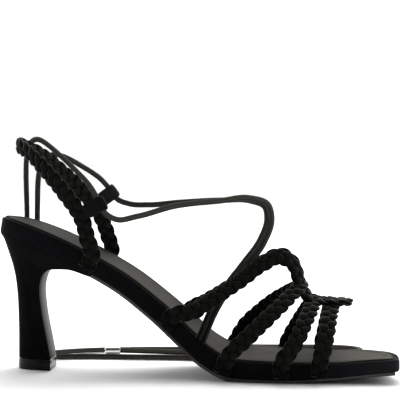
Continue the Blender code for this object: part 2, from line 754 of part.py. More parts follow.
def make_round_cord(name, route):
    path = smooth_path(route, TIE_STEP)
    ahead, out, across = strap_frames(path, lambda point: np.array(TIE_FACING))
    rings = []
    for i, point in enumerate(path):
        turns = np.arange(TIE_SIDES) * 2.0 * math.pi / TIE_SIDES
        rings.append([point + TIE_RADIUS * (out[i] * math.cos(a) + across[i] * math.sin(a)) for a in turns])
    return solid_from_rings(name, rings, "cord")


def make_tie_instep():
    tie = make_round_cord("tie_instep", tie_instep_route(-1))
    join_into(tie, [make_round_cord("tie_instep_outer", tie_instep_route(1))])
    return tie


def eased(path, passes):
    """The path with its bends made rounder; its ends stay."""
    path = path.copy()
    for _ in range(passes):
        path[1:-1] = (path[:-2] + 2.0 * path[1:-1] + path[2:]) / 4.0
    return path


def tie_end_path(side):
    up, hole = keeper_frame(side).up, keeper_hole(side)
    route = [hole + up * 2 * GAP, hole + up * KEEPER_LEAVE]
    route += [np.array(p) for p in (TIE_END_INNER if side < 0 else TIE_END_OUTER)]
    path = eased(smooth_path(route, TIE_END_STEP), EASING)
    path[:, 2] = np.maximum(path[:, 2], FLOOR_TIE_Z)
    return path


def make_tie_end(name, side):
    fine = tie_end_path(side)
    path = np.concatenate((fine[:-TIE_END_POINTS // 2:TIE_END_POINTS], fine[-1:]))
    curve = bpy.data.curves.new(name, "CURVE")
    curve.dimensions = "3D"
    curve.bevel_depth = TIE_RADIUS * METRES
    curve.bevel_resolution = 2
    curve.use_fill_caps = True
    spline = curve.splines.new("POLY")
    spline.points.add(len(path) - 1)
    for knot, point in zip(spline.points, path):
        knot.co = (*placed(point), 1.0)
    curve.materials.append(material("cord"))
    made = bpy.data.objects.new(name, curve)
    bpy.context.scene.collection.objects.link(made)
    return made


def make_aglet(name, side):
    path = tie_end_path(side)
    ahead = path[-1] - path[-TIE_END_POINTS]
    ahead[2] = 0.0
    ahead /= np.linalg.norm(ahead)
    across = np.array([-ahead[1], ahead[0], 0.0])
    rings = []
    for row in AGLET_ROWS:
        centre = path[-1] + ahead * (GAP + row.along)
        turns = np.arange(AGLET_SIDES) * 2.0 * math.pi / AGLET_SIDES
        rings.append([centre + row.radius * (across * math.cos(a) + np.array([0, 0, math.sin(a)]))
                      for a in turns])
    return solid_from_rings(name, rings, "nickel")


def main():
    clear_scene()
    make_footbed()
    make_insole()
    make_outsole()
    make_heel()
    make_heel_tip()
    make_vamp()
    make_sling()
    make_keeper("keeper_inner", -1)
    make_keeper("keeper_outer", 1)
    make_tie_instep()
    make_tie_end("tie_end_inner", -1)
    make_tie_end("tie_end_outer", 1)
    make_aglet("aglet_inner", -1)
    make_aglet("aglet_outer", 1)


main()
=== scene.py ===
# %% [markdown]
# # A plaited heeled sandal
# A left sandal of black suede stands empty on a white floor. Its straps are plaits of three
# strips, and two thin ties run from the sole over the instep, through loops on the heel sling,
# and down to the floor. The solids of the shoe are loaded as a fixed frame, and each cell
# dresses one piece: a finer mesh on the same tables of sizes, with a finish of its own.

# %% Load the frame
import math
from collections import namedtuple

import bmesh
import bpy
import numpy as np
from mathutils import Matrix


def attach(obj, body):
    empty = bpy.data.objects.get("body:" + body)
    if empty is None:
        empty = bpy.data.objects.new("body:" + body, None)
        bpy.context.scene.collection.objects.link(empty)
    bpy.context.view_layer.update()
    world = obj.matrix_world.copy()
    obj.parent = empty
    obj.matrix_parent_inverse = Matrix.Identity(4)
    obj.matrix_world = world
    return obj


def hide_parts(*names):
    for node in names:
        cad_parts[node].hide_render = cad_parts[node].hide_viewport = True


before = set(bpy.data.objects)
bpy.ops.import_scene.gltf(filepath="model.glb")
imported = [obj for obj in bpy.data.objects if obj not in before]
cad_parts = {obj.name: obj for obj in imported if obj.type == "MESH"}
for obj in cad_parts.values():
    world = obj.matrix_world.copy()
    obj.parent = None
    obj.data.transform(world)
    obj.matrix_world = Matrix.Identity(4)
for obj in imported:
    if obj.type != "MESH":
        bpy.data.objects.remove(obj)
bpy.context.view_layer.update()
print("solids:", ", ".join(sorted(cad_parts)))

# %% [markdown]
# ## Camera
# The tables are in millimetres, measured from the middle of the sole, so one helper moves a
# point to the frame's origin and to metres. The camera could be placed by eye, but the picture
# fixes it better: it looks almost straight at the inner side, a little from the toe, from a
# hand's height above the floor, and it is rolled one degree.

# %% Camera
METRES = 0.001
ORIGIN = np.array((0.2, 1.3, 0.0))
CAMERA_TARGET = np.array((0.0, 0.0, 102.0))
CAMERA_ROUND_DEG = 4.3
CAMERA_FAR = 1050.0
CAMERA_HIGH = 151.0
CAMERA_ROLL_DEG = 1.0
PIXELS_PER_MM = 1.7
PICTURE_SIDE = 400
SENSOR = 36.0


def placed(points):
    """Points of the tables, as metres in the frame."""
    return (np.asarray(points, float) - ORIGIN) * METRES


def unit(vectors):
    return vectors / np.linalg.norm(vectors, axis=-1, keepdims=True)


def new_object(name, data):
    made = bpy.data.objects.new(name, data)
    bpy.context.scene.collection.objects.link(made)
    return made


def turned_to(right, up, back, place):
    """The matrix that turns an object to three directions and puts it at a place."""
    rows = [(right[k], up[k], back[k], place[k]) for k in range(3)]
    return Matrix(rows + [(0.0, 0.0, 0.0, 1.0)])


def make_camera():
    turn = math.radians(CAMERA_ROUND_DEG)
    place = CAMERA_TARGET + CAMERA_FAR * np.array((math.sin(turn), -math.cos(turn), 0.0))
    place[2] = CAMERA_HIGH
    far = np.linalg.norm(CAMERA_TARGET - place)
    forward = unit(CAMERA_TARGET - place)
    level = unit(np.cross(forward, (0.0, 0.0, 1.0)))
    upright = np.cross(level, forward)
    roll = math.radians(CAMERA_ROLL_DEG)
    right = level * math.cos(roll) + upright * math.sin(roll)
    up = upright * math.cos(roll) - level * math.sin(roll)
    lens = bpy.data.cameras.new("camera")
    lens.sensor_width = SENSOR
    lens.lens = SENSOR * PIXELS_PER_MM * far / PICTURE_SIDE
    camera = new_object("camera", lens)
    camera.matrix_world = turned_to(right, up, -forward, placed(place))
    bpy.context.scene.camera = camera
    print("lens", round(lens.lens, 1), "mm")


make_camera()

# %% [markdown]
# ## Floor and light
# Black suede on white needs light from above and behind: the tops of the straps and the insole
# catch it, and the near walls stay dark. One small lamp would give hard shadows, so there are two
# wide soft panels, and a sky that is bright behind the shoe and dark in front of it. To the camera
# itself the sky is plain white, so the background has no shading.

# %% Floor and light
FLOOR_SIDE = 14.0
FLOOR_COLOUR = (0.94, 0.94, 0.94, 1.0)
SKY_SEEN = 1.08
SKY_FRONT = 0.2
SKY_BACK = 2.1
SKY_TURN = (-0.45, 0.6)
Panel = namedtuple("Panel", "name place aim side watts")
PANELS = (
    Panel("top_panel", (0.15, 1.1, 1.35), (0.0, 0.0, 0.05), 1.2, 24.0),
    Panel("toe_panel", (1.6, -0.2, 0.9), (0.0, 0.0, 0.05), 1.0, 4.5),
)


def make_floor():
    half = FLOOR_SIDE / 2
    mesh = bpy.data.meshes.new("floor")
    corners = [(-half, -half, 0), (half, -half, 0), (half, half, 0), (-half, half, 0)]
    mesh.from_pydata(corners, [], [(0, 1, 2, 3)])
    paint = bpy.data.materials.new("floor_white")
    paint.use_nodes = True
    shader = paint.node_tree.nodes["Principled BSDF"]
    shader.inputs["Base Color"].default_value = FLOOR_COLOUR
    shader.inputs["Roughness"].default_value = 1.0
    shader.inputs["Specular IOR Level"].default_value = 0.0
    mesh.materials.append(paint)
    new_object("floor", mesh)


def map_range(tree, value, from_ends, to_ends, kind):
    """A socket that runs from one pair of ends to the other as the value does."""
    made = tree.nodes.new("ShaderNodeMapRange")
    made.interpolation_type = kind
    tree.links.new(value, made.inputs["Value"])
    ends = dict(zip(("From Min", "From Max", "To Min", "To Max"), (*from_ends, *to_ends)))
    for name, end in ends.items():
        made.inputs[name].default_value = end
    return made.outputs["Result"]


def make_light():
    world = bpy.data.worlds.new("studio")
    world.use_nodes = True
    tree = world.node_tree
    sky = tree.nodes["Background"]
    sky.inputs["Color"].default_value = (1.0, 1.0, 1.0, 1.0)
    parts = tree.nodes.new("ShaderNodeSeparateXYZ")
    direction = tree.nodes.new("ShaderNodeTexCoord").outputs["Generated"]
    tree.links.new(direction, parts.inputs["Vector"])
    turn = map_range(tree, parts.outputs["Y"], SKY_TURN, (SKY_FRONT, SKY_BACK), "SMOOTHSTEP")
    seen = tree.nodes.new("ShaderNodeMix")
    to_camera = tree.nodes.new("ShaderNodeLightPath").outputs["Is Camera Ray"]
    tree.links.new(to_camera, seen.inputs["Factor"])
    tree.links.new(turn, seen.inputs["A"])
    seen.inputs["B"].default_value = SKY_SEEN
    tree.links.new(seen.outputs["Result"], sky.inputs["Strength"])
    bpy.context.scene.world = world
    for panel in PANELS:
        lamp = bpy.data.lights.new(panel.name, "AREA")
        lamp.shape = "SQUARE"
        lamp.size = panel.side
        lamp.energy = panel.watts
        made = new_object(panel.name, lamp)
        back = unit(np.array(panel.place) - np.array(panel.aim))
        side = unit(np.cross((0.0, 1.0, 0.0), back))
        over = np.cross(back, side)
        made.matrix_world = turned_to(side, over, back, panel.place)
    bpy.context.scene.view_settings.view_transform = "Standard"
    print("panels:", len(PANELS))


make_floor()
make_light()

# %% [markdown]
# ## Finishes
# Suede is the flesh side of the hide: it has no gloss, a short nap that catches light at the
# rim, and patches where the nap lies another way. Straps, ties, sole edge, heel and loops share it,
# so the nap is one node group with its own strengths in each material. A picture of suede could be
# laid on instead, but noise in the piece's own space has no seams.

# %% Suede nap, as a node group
Pattern = namedtuple("Pattern", "scale detail roughness stretch", defaults=(None,))
PATCHES = Pattern(130.0, 2.0, 0.6)
BRUSHED = Pattern(420.0, 3.0, 0.6, (1.0, 0.45, 0.7))
SPECKS = Pattern(2600.0, 4.0, 0.75)
NOISE_MIDDLE = 0.5
NAP_ROUGHNESS = 0.97
BRUSHED_SMOOTHER = 0.1
BRUSHED_HEIGHT = 0.8


def new_group(name, takes, gives):
    """An empty node group with named float or colour sockets, and its two end nodes."""
    group = bpy.data.node_groups.new(name, "ShaderNodeTree")
    for title, kind in takes:
        group.interface.new_socket(title, in_out="INPUT", socket_type="NodeSocket" + kind)
    for title, kind in gives:
        group.interface.new_socket(title, in_out="OUTPUT", socket_type="NodeSocket" + kind)
    return group, group.nodes.new("NodeGroupInput"), group.nodes.new("NodeGroupOutput")


def arithmetic(tree, operation, first, second):
    """A Math node on two sockets or numbers."""
    made = tree.nodes.new("ShaderNodeMath")
    made.operation = operation
    for socket, value in zip(made.inputs, (first, second)):
        if isinstance(value, (int, float)):
            socket.default_value = value
        else:
            tree.links.new(value, socket)
    return made.outputs[0]


def scaled_sum(tree, base, value, share):
    """The base and a share of a value, as a socket."""
    return arithmetic(tree, "ADD", base, arithmetic(tree, "MULTIPLY", value, share))


def noise(tree, pattern):
    """Noise in the piece's own space, its scale in turns a metre."""
    place = tree.nodes.new("ShaderNodeTexCoord").outputs["Object"]
    if pattern.stretch:
        mapping = tree.nodes.new("ShaderNodeMapping")
        mapping.inputs["Scale"].default_value = pattern.stretch
        tree.links.new(place, mapping.inputs["Vector"])
        place = mapping.outputs["Vector"]
    made = tree.nodes.new("ShaderNodeTexNoise")
    made.inputs["Scale"].default_value = pattern.scale
    made.inputs["Detail"].default_value = pattern.detail
    made.inputs["Roughness"].default_value = pattern.roughness
    tree.links.new(place, made.inputs["Vector"])
    return made.outputs["Fac"]


def tinted(tree, colour, share):
    """A colour socket made lighter or darker by a share around one."""
    made = tree.nodes.new("ShaderNodeVectorMath")
    made.operation = "SCALE"
    tree.links.new(colour, made.inputs[0])
    tree.links.new(share, made.inputs["Scale"])
    return made.outputs["Vector"]


def make_nap_group():
    """Nap: colour in soft patches and specks, with a height for the bump."""
    group, takes, gives = new_group(
        "suede_nap",
        (("Colour", "Color"), ("LightAndTone", "Float"), ("Patches", "Float"), ("Specks", "Float")),
        (("Colour", "Color"), ("Roughness", "Float"), ("Height", "Float")))
    patches, brushed, specks = (noise(group, pattern) for pattern in (PATCHES, BRUSHED, SPECKS))
    # The mesh's stored number, mostly painted light and shade, scales the nap's colour.
    share = arithmetic(group, "ADD", takes.outputs["LightAndTone"], 1.0)
    for pattern, strength in ((patches, "Patches"), (brushed, "Patches"), (specks, "Specks")):
        around_zero = arithmetic(group, "SUBTRACT", pattern, NOISE_MIDDLE)
        share = scaled_sum(group, share, around_zero, takes.outputs[strength])
    group.links.new(tinted(group, takes.outputs["Colour"], share), gives.inputs["Colour"])
    rough = scaled_sum(group, NAP_ROUGHNESS, brushed, -BRUSHED_SMOOTHER)
    group.links.new(rough, gives.inputs["Roughness"])
    height = scaled_sum(group, specks, brushed, BRUSHED_HEIGHT)
    group.links.new(height, gives.inputs["Height"])
    return group


nap_group = make_nap_group()
print("node group:", nap_group.name)

# %% [markdown]
# A finish is then a material with the group placed in it. What is the same all over, such as the
# sheen of the nap, is set on the shader itself. Noise can't know where a strap has its crests, so two
# numbers are stored on the mesh: the first paints light and shade into the nap's colour, such as a
# painted highlight on crests and painted shade between strips, and also holds the ties' own darker
# seams; the other tells where it is polished smooth, as on the front of the heel.

# %% Finishes of suede
Nap = namedtuple("Nap", "colour patches specks sheen bump")
SUEDES = {
    "plait_suede": Nap((0.0042, 0.0042, 0.0038), 0.8, 1.0, 0.3, 0.6),
    "wrap_suede": Nap((0.0040, 0.0036, 0.0043), 0.8, 0.8, 0.05, 0.35),
    "lace_suede": Nap((0.0360, 0.0345, 0.0305), 0.35, 0.6, 0.25, 0.4),
}
SHEEN_ROUGHNESS = 0.35
SHEEN_TINT = (0.75, 0.74, 0.70, 1.0)
SUEDE_SPECULAR = 0.02
POLISH_ROUGHNESS = 0.35
BUMP_DEPTH = 0.00012


def new_material(name):
    made = bpy.data.materials.new(name)
    made.use_nodes = True
    return made, made.node_tree, made.node_tree.nodes["Principled BSDF"]


def bump_into(tree, shader, height, strength):
    bump = tree.nodes.new("ShaderNodeBump")
    bump.inputs["Strength"].default_value = strength
    bump.inputs["Distance"].default_value = BUMP_DEPTH
    tree.links.new(height, bump.inputs["Height"])
    tree.links.new(bump.outputs["Normal"], shader.inputs["Normal"])


def stored(tree, name):
    """A number that the mesh stores at each point."""
    made = tree.nodes.new("ShaderNodeAttribute")
    made.attribute_name = name
    return made.outputs["Fac"]


def make_suede(name, nap):
    made, tree, shader = new_material(name)
    group = tree.nodes.new("ShaderNodeGroup")
    group.node_tree = nap_group
    group.inputs["Colour"].default_value = (*nap.colour, 1.0)
    group.inputs["Patches"].default_value = nap.patches
    group.inputs["Specks"].default_value = nap.specks
    # Painted light and shade, with the ties' darker seams, stored on the mesh, goes into the nap's colour.
    tree.links.new(stored(tree, "painted_light_and_tone"), group.inputs["LightAndTone"])
    tree.links.new(group.outputs["Colour"], shader.inputs["Base Color"])
    tree.links.new(group.outputs["Roughness"], shader.inputs["Roughness"])
    bump_into(tree, shader, group.outputs["Height"], nap.bump)
    tree.links.new(stored(tree, "polish"), shader.inputs["Coat Weight"])
    shader.inputs["Coat Roughness"].default_value = POLISH_ROUGHNESS
    shader.inputs["Specular IOR Level"].default_value = SUEDE_SPECULAR
    shader.inputs["Sheen Weight"].default_value = nap.sheen
    shader.inputs["Sheen Roughness"].default_value = SHEEN_ROUGHNESS
    shader.inputs["Sheen Tint"].default_value = SHEEN_TINT
    return made


finishes = {name: make_suede(name, nap) for name, nap in SUEDES.items()}
print("suedes:", ", ".join(finishes))

# %% [markdown]
# The other finishes are plainer. The insole has a thin grained lining, a little streaky, with shade
# painted in so that it is darker at the heel than at the toes. One flat colour would look like a toy,
# so in each finish a noise moves colour, roughness and bump together. The satin sheet under the sole,
# the hard lift under the heel and the nickel on the tips of the ties differ only in their values, so
# one function makes all three.

# %% Other finishes
LINING = (0.042, 0.0375, 0.029)
LINING_SHADES = (0.7, 1.3)
STREAKS = Pattern(260.0, 4.0, 0.6, (0.4, 1.0, 0.4))
STREAKS_FROM = 0.25
STREAKS_CONTRAST = 2.0
STREAKS_HEIGHT = 0.6
GRAIN = Pattern(1500.0, 3.0, 0.7)
LINING_ROUGHNESS = (0.62, 0.25)
LINING_SPECULAR = 0.05
LINING_BUMP = 0.35
ARCH_TO_BALL = (-0.03, 0.07)
ARCH_PAINTED_SHADE = 0.4
HardFinish = namedtuple("HardFinish", "colour shades scuffs roughness relief bump specular metallic")
HARD_FINISHES = {
    "sole_sheet": HardFinish(
        colour=(0.020, 0.016, 0.014), shades=(0.7, 1.5), scuffs=Pattern(90.0, 5.0, 0.7),
        roughness=(0.28, 0.3), relief=Pattern(1100.0, 2.0, 0.6), bump=0.25, specular=0.5, metallic=0.0),
    "heel_lift": HardFinish(
        colour=(0.008, 0.008, 0.009), shades=(0.8, 1.5), scuffs=Pattern(240.0, 5.0, 0.7),
        roughness=(0.12, 0.18), relief=Pattern(240.0, 5.0, 0.7), bump=0.08, specular=0.09, metallic=0.0),
    "nickel": HardFinish(
        colour=(0.72, 0.70, 0.68), shades=(0.9, 1.05), scuffs=Pattern(900.0, 3.0, 0.6),
        roughness=(0.08, 0.14), relief=Pattern(900.0, 3.0, 0.6), bump=0.05, specular=0.5, metallic=1.0),
}


def colour_between(tree, share, colour, shades):
    """A socket that mixes a darker and a lighter shade of a colour."""
    mix = tree.nodes.new("ShaderNodeMix")
    mix.data_type = "RGBA"
    for name, shade in zip(("A", "B"), shades):
        mix.inputs[name].default_value = (*(shade * channel for channel in colour), 1.0)
    tree.links.new(share, mix.inputs["Factor"])
    return mix.outputs["Result"]


def make_lining():
    made, tree, shader = new_material("lining_skin")
    streaks, grain = noise(tree, STREAKS), noise(tree, GRAIN)
    spread = arithmetic(tree, "SUBTRACT", streaks, STREAKS_FROM)
    spread = arithmetic(tree, "MULTIPLY", spread, STREAKS_CONTRAST)
    colour = colour_between(tree, spread, LINING, LINING_SHADES)
    parts = tree.nodes.new("ShaderNodeSeparateXYZ")
    place = tree.nodes.new("ShaderNodeTexCoord").outputs["Object"]
    tree.links.new(place, parts.inputs["Vector"])
    # Painted shade: the lining's colour is darker towards the heel.
    along = map_range(tree, parts.outputs["X"], ARCH_TO_BALL, (ARCH_PAINTED_SHADE, 1.0), "LINEAR")
    tree.links.new(tinted(tree, colour, along), shader.inputs["Base Color"])
    bump_into(tree, shader, scaled_sum(tree, grain, streaks, STREAKS_HEIGHT), LINING_BUMP)
    least, more = LINING_ROUGHNESS
    tree.links.new(scaled_sum(tree, least, grain, more), shader.inputs["Roughness"])
    shader.inputs["Specular IOR Level"].default_value = LINING_SPECULAR
    return made


def make_hard(name, hard):
    made, tree, shader = new_material(name)
    scuffs = noise(tree, hard.scuffs)
    colour = colour_between(tree, scuffs, hard.colour, hard.shades)
    tree.links.new(colour, shader.inputs["Base Color"])
    least, more = hard.roughness
    tree.links.new(scaled_sum(tree, least, scuffs, more), shader.inputs["Roughness"])
    bump_into(tree, shader, noise(tree, hard.relief), hard.bump)
    shader.inputs["Specular IOR Level"].default_value = hard.specular
    shader.inputs["Metallic"].default_value = hard.metallic
    return made


finishes["lining_skin"] = make_lining()
finishes.update({name: make_hard(name, hard) for name, hard in HARD_FINISHES.items()})
print("finishes:", ", ".join(finishes))

# %% [markdown]
# ## Curves and tubes
# Nearly every piece here is a row of rings: tie, strip of a plait, sole, heel. A curve object with
# a bevel could make the ties, but rings give a section of any shape, so a few helpers serve all. The
# first of them draw a smooth path through a route's points and find the directions along it.

# %% Paths
RoutePoint = namedtuple("RoutePoint", "x y z")
SAMPLES_PER_POINT = 60


def route_points(*rows):
    """Points of a route: x towards the toe, y to the outer side, z up."""
    return [RoutePoint(*row) for row in rows]


def hermite(knots, values, slopes, at):
    """Cubic curve through values at the knots, with the slopes given there."""
    span = np.clip(np.searchsorted(knots, at, side="right") - 1, 0, len(knots) - 2)
    width = knots[span + 1] - knots[span]
    t = (at - knots[span]) / width
    rise = (2 * t**3 - 3 * t**2 + 1) * values[span] + (3 * t**2 - 2 * t**3) * values[span + 1]
    bend = (t**3 - 2 * t**2 + t) * slopes[span] + (t**3 - t**2) * slopes[span + 1]
    return rise + bend * width


def run_along(path):
    """Length from the path's start to each of its points."""
    return np.concatenate(([0.0], np.cumsum(np.linalg.norm(np.diff(path, axis=0), axis=1))))


def smooth_path(points, step):
    """Points about a step apart on a smooth curve through a route's points."""
    points = np.asarray(points, float)
    knots = run_along(points)
    slopes = np.gradient(points, knots, axis=0)
    fine = np.linspace(0.0, knots[-1], SAMPLES_PER_POINT * len(points))
    curve = np.stack([hermite(knots, points[:, k], slopes[:, k], fine) for k in range(3)], axis=1)
    run = run_along(curve)
    even = np.linspace(0.0, run[-1], max(2, round(run[-1] / step)) + 1)
    return np.stack([np.interp(even, run, curve[:, k]) for k in range(3)], axis=1)


def frames_along(path, outward):
    """Tangent, outward normal and width direction at each point of a path."""
    ahead = unit(np.gradient(path, axis=0))
    out = unit(outward - ahead * np.sum(outward * ahead, axis=1)[:, None])
    return ahead, out, np.cross(ahead, out)


def carried_normals(path, first):
    """Normals that turn with the path and never twist about it."""
    ahead = unit(np.gradient(path, axis=0))
    normals = [np.asarray(first, float)]
    for direction in ahead:
        last = normals[-1]
        normals.append(unit(last - direction * np.dot(last, direction)))
    return np.array(normals[1:])


low_arch = smooth_path(route_points((0.0, 0.0, 0.0), (5.0, 0.0, 2.0), (10.0, 0.0, 0.0)), 1.0)
print("an arch of 10 mm, 2 mm high, is", round(run_along(low_arch)[-1], 2), "mm long")

# %% [markdown]
# The others put a ring round each point of a path and stretch a closed skin over the rings. The last
# one makes a piece of the shoe from such a skin. It could be written out for each piece, but all need
# the same things: outward normals, the two stored numbers, a finish, and the calls to the frame.

# %% Rings, skins and pieces
def even_turns(count):
    return np.arange(count) * 2.0 * math.pi / count


def soft_circle(turns, square):
    """Cosines and sines of the turns, drawn towards a square."""
    return [np.sign(part) * np.abs(part) ** square for part in (np.cos(turns), np.sin(turns))]


def rings_along(path, out, across, out_reach, across_reach):
    """A ring round each point of a path, from its reach outward and across at each turn."""
    return (path[:, None, :] + out[:, None, :] * np.atleast_2d(out_reach)[:, :, None]
            + across[:, None, :] * np.atleast_2d(across_reach)[:, :, None])


def skin(rings, first=0):
    """Points and faces of a closed tube over rings of equal count, counted from a first index."""
    rings = np.asarray(rings)
    rows, count = rings.shape[:2]
    index = np.arange(rows * count).reshape(rows, count) + first
    near, far = index[:-1], index[1:]
    quads = np.stack([near, np.roll(near, -1, 1), np.roll(far, -1, 1), far], axis=-1)
    faces = quads.reshape(-1, 4).tolist()
    faces.append(index[0][::-1].tolist())
    faces.append(index[-1].tolist())
    return rings.reshape(-1, 3), faces


def joined(skins):
    """One list of points and one of faces from several ring tubes."""
    points, faces, first = [], [], 0
    for rings in skins:
        more_points, more_faces = skin(rings, first)
        points.append(more_points)
        faces += more_faces
        first += len(more_points)
    return np.concatenate(points), faces


def store_number(mesh, name, values):
    store = mesh.attributes.new(name, "FLOAT", "POINT")
    store.data.foreach_set("value", np.asarray(values, np.float32))


def new_piece(name, points, faces, finish, replaced, painted_light_and_tone=None, polish=None, sharp_deg=None):
    """A piece of the shoe, from points of the tables, riding on the shoe."""
    mesh = bpy.data.meshes.new(name)
    mesh.from_pydata(placed(points).tolist(), [], faces)
    shape = bmesh.new()
    shape.from_mesh(mesh)
    bmesh.ops.recalc_face_normals(shape, faces=shape.faces)
    shape.to_mesh(mesh)
    shape.free()
    mesh.shade_smooth()
    if sharp_deg:
        mesh.set_sharp_from_angle(angle=math.radians(sharp_deg))
    # Painted light and shade with some real tone, and polish, are stored at each point.
    for stored_name, values in (("painted_light_and_tone", painted_light_and_tone), ("polish", polish)):
        store_number(mesh, stored_name, np.zeros(len(points)) if values is None else values)
    mesh.materials.append(finishes[finish])
    piece = new_object(name, mesh)
    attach(piece, "root")
    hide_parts(replaced)
    print(name, len(mesh.vertices), "points")
    return piece


print("a tube of two rings of four has", len(skin(np.zeros((2, 4, 3)))[1]), "faces")

# %% [markdown]
# ## Sole, in numbers
# Straps, insole and heel all start from the footbed, so its sections come before any of them. A
# sculpted mesh could hold the shape, but a table can be read and changed row by row. Each row gives
# the place of the footbed's top, its thickness and its two edges.

# %% Sole sections
GAP = 0.3
SoleRow = namedtuple("SoleRow", "x z thick inner outer")
SOLE_ROWS = np.array((
    SoleRow(-116.5, 90.2, 9.0, -5.0, 5.0),
    SoleRow(-114.5, 89.9, 9.0, -12.0, 12.0),
    SoleRow(-110.0, 89.0, 9.0, -18.5, 18.5),
    SoleRow(-103.0, 87.2, 9.0, -23.0, 23.0),
    SoleRow(-92.0, 83.6, 9.0, -26.0, 26.0),
    SoleRow(-78.0, 78.1, 9.2, -27.0, 27.5),
    SoleRow(-60.0, 69.5, 9.5, -26.5, 29.0),
    SoleRow(-40.0, 58.1, 9.5, -25.0, 31.0),
    SoleRow(-20.0, 43.1, 9.7, -24.5, 33.5),
    SoleRow(-2.0, 27.7, 9.7, -28.5, 36.8),
    SoleRow(10.0, 17.9, 9.9, -32.5, 38.0),
    SoleRow(23.0, 12.3, 10.1, -35.5, 39.0),
    SoleRow(38.0, 11.6, 9.7, -37.0, 38.5),
    SoleRow(60.0, 11.1, 9.1, -35.5, 34.5),
    SoleRow(80.0, 11.3, 7.7, -32.5, 31.0),
    SoleRow(94.0, 12.4, 7.3, -30.5, 28.0),
    SoleRow(103.5, 13.2, 7.1, -29.3, 23.0),
    SoleRow(111.0, 13.7, 7.0, -28.3, 15.0),
    SoleRow(115.3, 14.0, 7.0, -27.0, 6.0),
    SoleRow(118.0, 14.1, 7.0, -22.0, -8.0),
))
SOLE_KNOTS = run_along(SOLE_ROWS[:, :2])
SOLE_RUN = SOLE_KNOTS[-1]
SLOPE_SPAN = 1.0
Section = namedtuple("Section", "x z up_x up_z thick inner outer")


def even_slopes(knots, values):
    """Slopes that keep a table's curve from swinging past its rows."""
    steps = np.diff(values) / np.diff(knots)
    slopes = np.concatenate(([steps[0]], np.zeros(len(values) - 2), [steps[-1]]))
    for i in range(1, len(values) - 1):
        before, after = steps[i - 1], steps[i]
        if before * after > 0:
            slopes[i] = 2 * before * after / (before + after)
    return slopes


SOLE_SLOPES = [even_slopes(SOLE_KNOTS, SOLE_ROWS[:, k]) for k in range(SOLE_ROWS.shape[1])]


def sole_at(run):
    """The footbed's section at that run along its top from the heel."""
    def column(k, at):
        return float(hermite(SOLE_KNOTS, SOLE_ROWS[:, k], SOLE_SLOPES[k], np.array(at)))
    before = max(run - SLOPE_SPAN, 0.0)
    after = min(run + SLOPE_SPAN, SOLE_RUN)
    ahead = unit(np.array([column(k, after) - column(k, before) for k in range(2)]))
    return Section(column(0, run), column(1, run), -ahead[1], ahead[0],
                   column(2, run), column(3, run), column(4, run))


def sole_point(section, y, depth):
    return np.array([section.x - section.up_x * depth, y, section.z - section.up_z * depth])


def run_at_x(x):
    return float(np.interp(x, SOLE_ROWS[:, 0], SOLE_KNOTS))


FOOT_ABOVE_SOLE = 0.4
FOOT_OVER_TOP = 1.0


def wall_foot(x, side, standing):
    """A strap's first two points, up the sole's side wall: by the outsole and at the top edge."""
    section = sole_at(run_at_x(x))
    edge = section.outer + standing if side > 0 else section.inner - standing
    low = sole_point(section, edge, section.thick - FOOT_ABOVE_SOLE)
    return [low, sole_point(section, edge, -FOOT_OVER_TOP)]


print("sole length along its top", round(SOLE_RUN, 1), "mm")

# %% [markdown]
# ## Sling route and loops
# The sling is the strap round the heel. The ties pass through two loops on its front edge, so its
# route and the loops come before the ties. The places of the loops could be typed in as numbers, but
# found on the route they stay on the strap when it changes.

# %% Sling route and loops
PLAIT_PITCH = 6.2
STRAND_SWING = 2.85
STRAND_HALF = 2.15
PLAIT_HALF = STRAND_SWING + STRAND_HALF
PLAIT_DEEP = 2.3
STANDING = GAP + PLAIT_DEEP
SLING_FOOT_X = -60.0
SLING_INNER = route_points(
    (-61.9, -29.5, 78.5), (-66.6, -28.5, 92.5), (-77.4, -25.5, 106.5), (-88.4, -20.5, 118.0),
    (-99.2, -12.5, 127.5),
)
SLING_BACK = RoutePoint(-107.5, 0.0, 132.0)
SLING_OUTER_FORWARD = 3.7
SLING_CENTRE_X = -66.0
SLING_SIDE_SHARE = 1.4
LOOP_INNER_Z = 94.3
LOOP_OUTER_Z = 96.5
LOOP_WIDE = 8.5
LOOP_WALL = 1.2
LOOP_SLOT = 8.9
LOOP_CLEAR = 0.5
LOOP_BACK = PLAIT_HALF + GAP + LOOP_WALL
TIE_RADIUS = 1.6
SIDES = ((-1, "inner"), (1, "outer"))
SlingFrame = namedtuple("SlingFrame", "centre up out front")


def sling_route():
    inner = wall_foot(SLING_FOOT_X, -1, STANDING) + [np.array(p) for p in SLING_INNER]
    outer = [np.array((p.x, -p.y, p.z)) for p in SLING_INNER]
    for point in outer:
        point[0] += SLING_OUTER_FORWARD * (SLING_BACK.z - point[2]) / (SLING_BACK.z - SLING_INNER[0].z)
    outer = wall_foot(SLING_FOOT_X + SLING_OUTER_FORWARD, 1, STANDING) + outer
    return inner + [np.array(SLING_BACK)] + outer[::-1]


def outward_of_heel(path):
    out = path * (1.0, SLING_SIDE_SHARE, 0.0)
    out[:, 0] -= SLING_CENTRE_X
    return out


def loop_frame(side):
    """The sling's middle at a loop, and its directions up, outward and to its front edge."""
    height = LOOP_INNER_Z if side < 0 else LOOP_OUTER_Z
    path = smooth_path(sling_route(), PLAIT_PITCH / 2)
    ahead, out, across = frames_along(path, outward_of_heel(path))
    half = len(path) // 2
    rows = range(half) if side < 0 else range(half, len(path))
    i = min(rows, key=lambda k: abs(path[k][2] - height))
    up = ahead[i] if ahead[i][2] > 0 else -ahead[i]
    front = across[i] if across[i][0] > 0 else -across[i]
    return SlingFrame(path[i], up, out[i], front)


def loop_hole(side):
    """The tie's place in a loop, at its front."""
    loop = loop_frame(side)
    return loop.centre + loop.front * (LOOP_BACK + LOOP_SLOT - LOOP_CLEAR - TIE_RADIUS)


for side, which in SIDES:
    print(which, "loop at", np.round(loop_hole(side), 1))
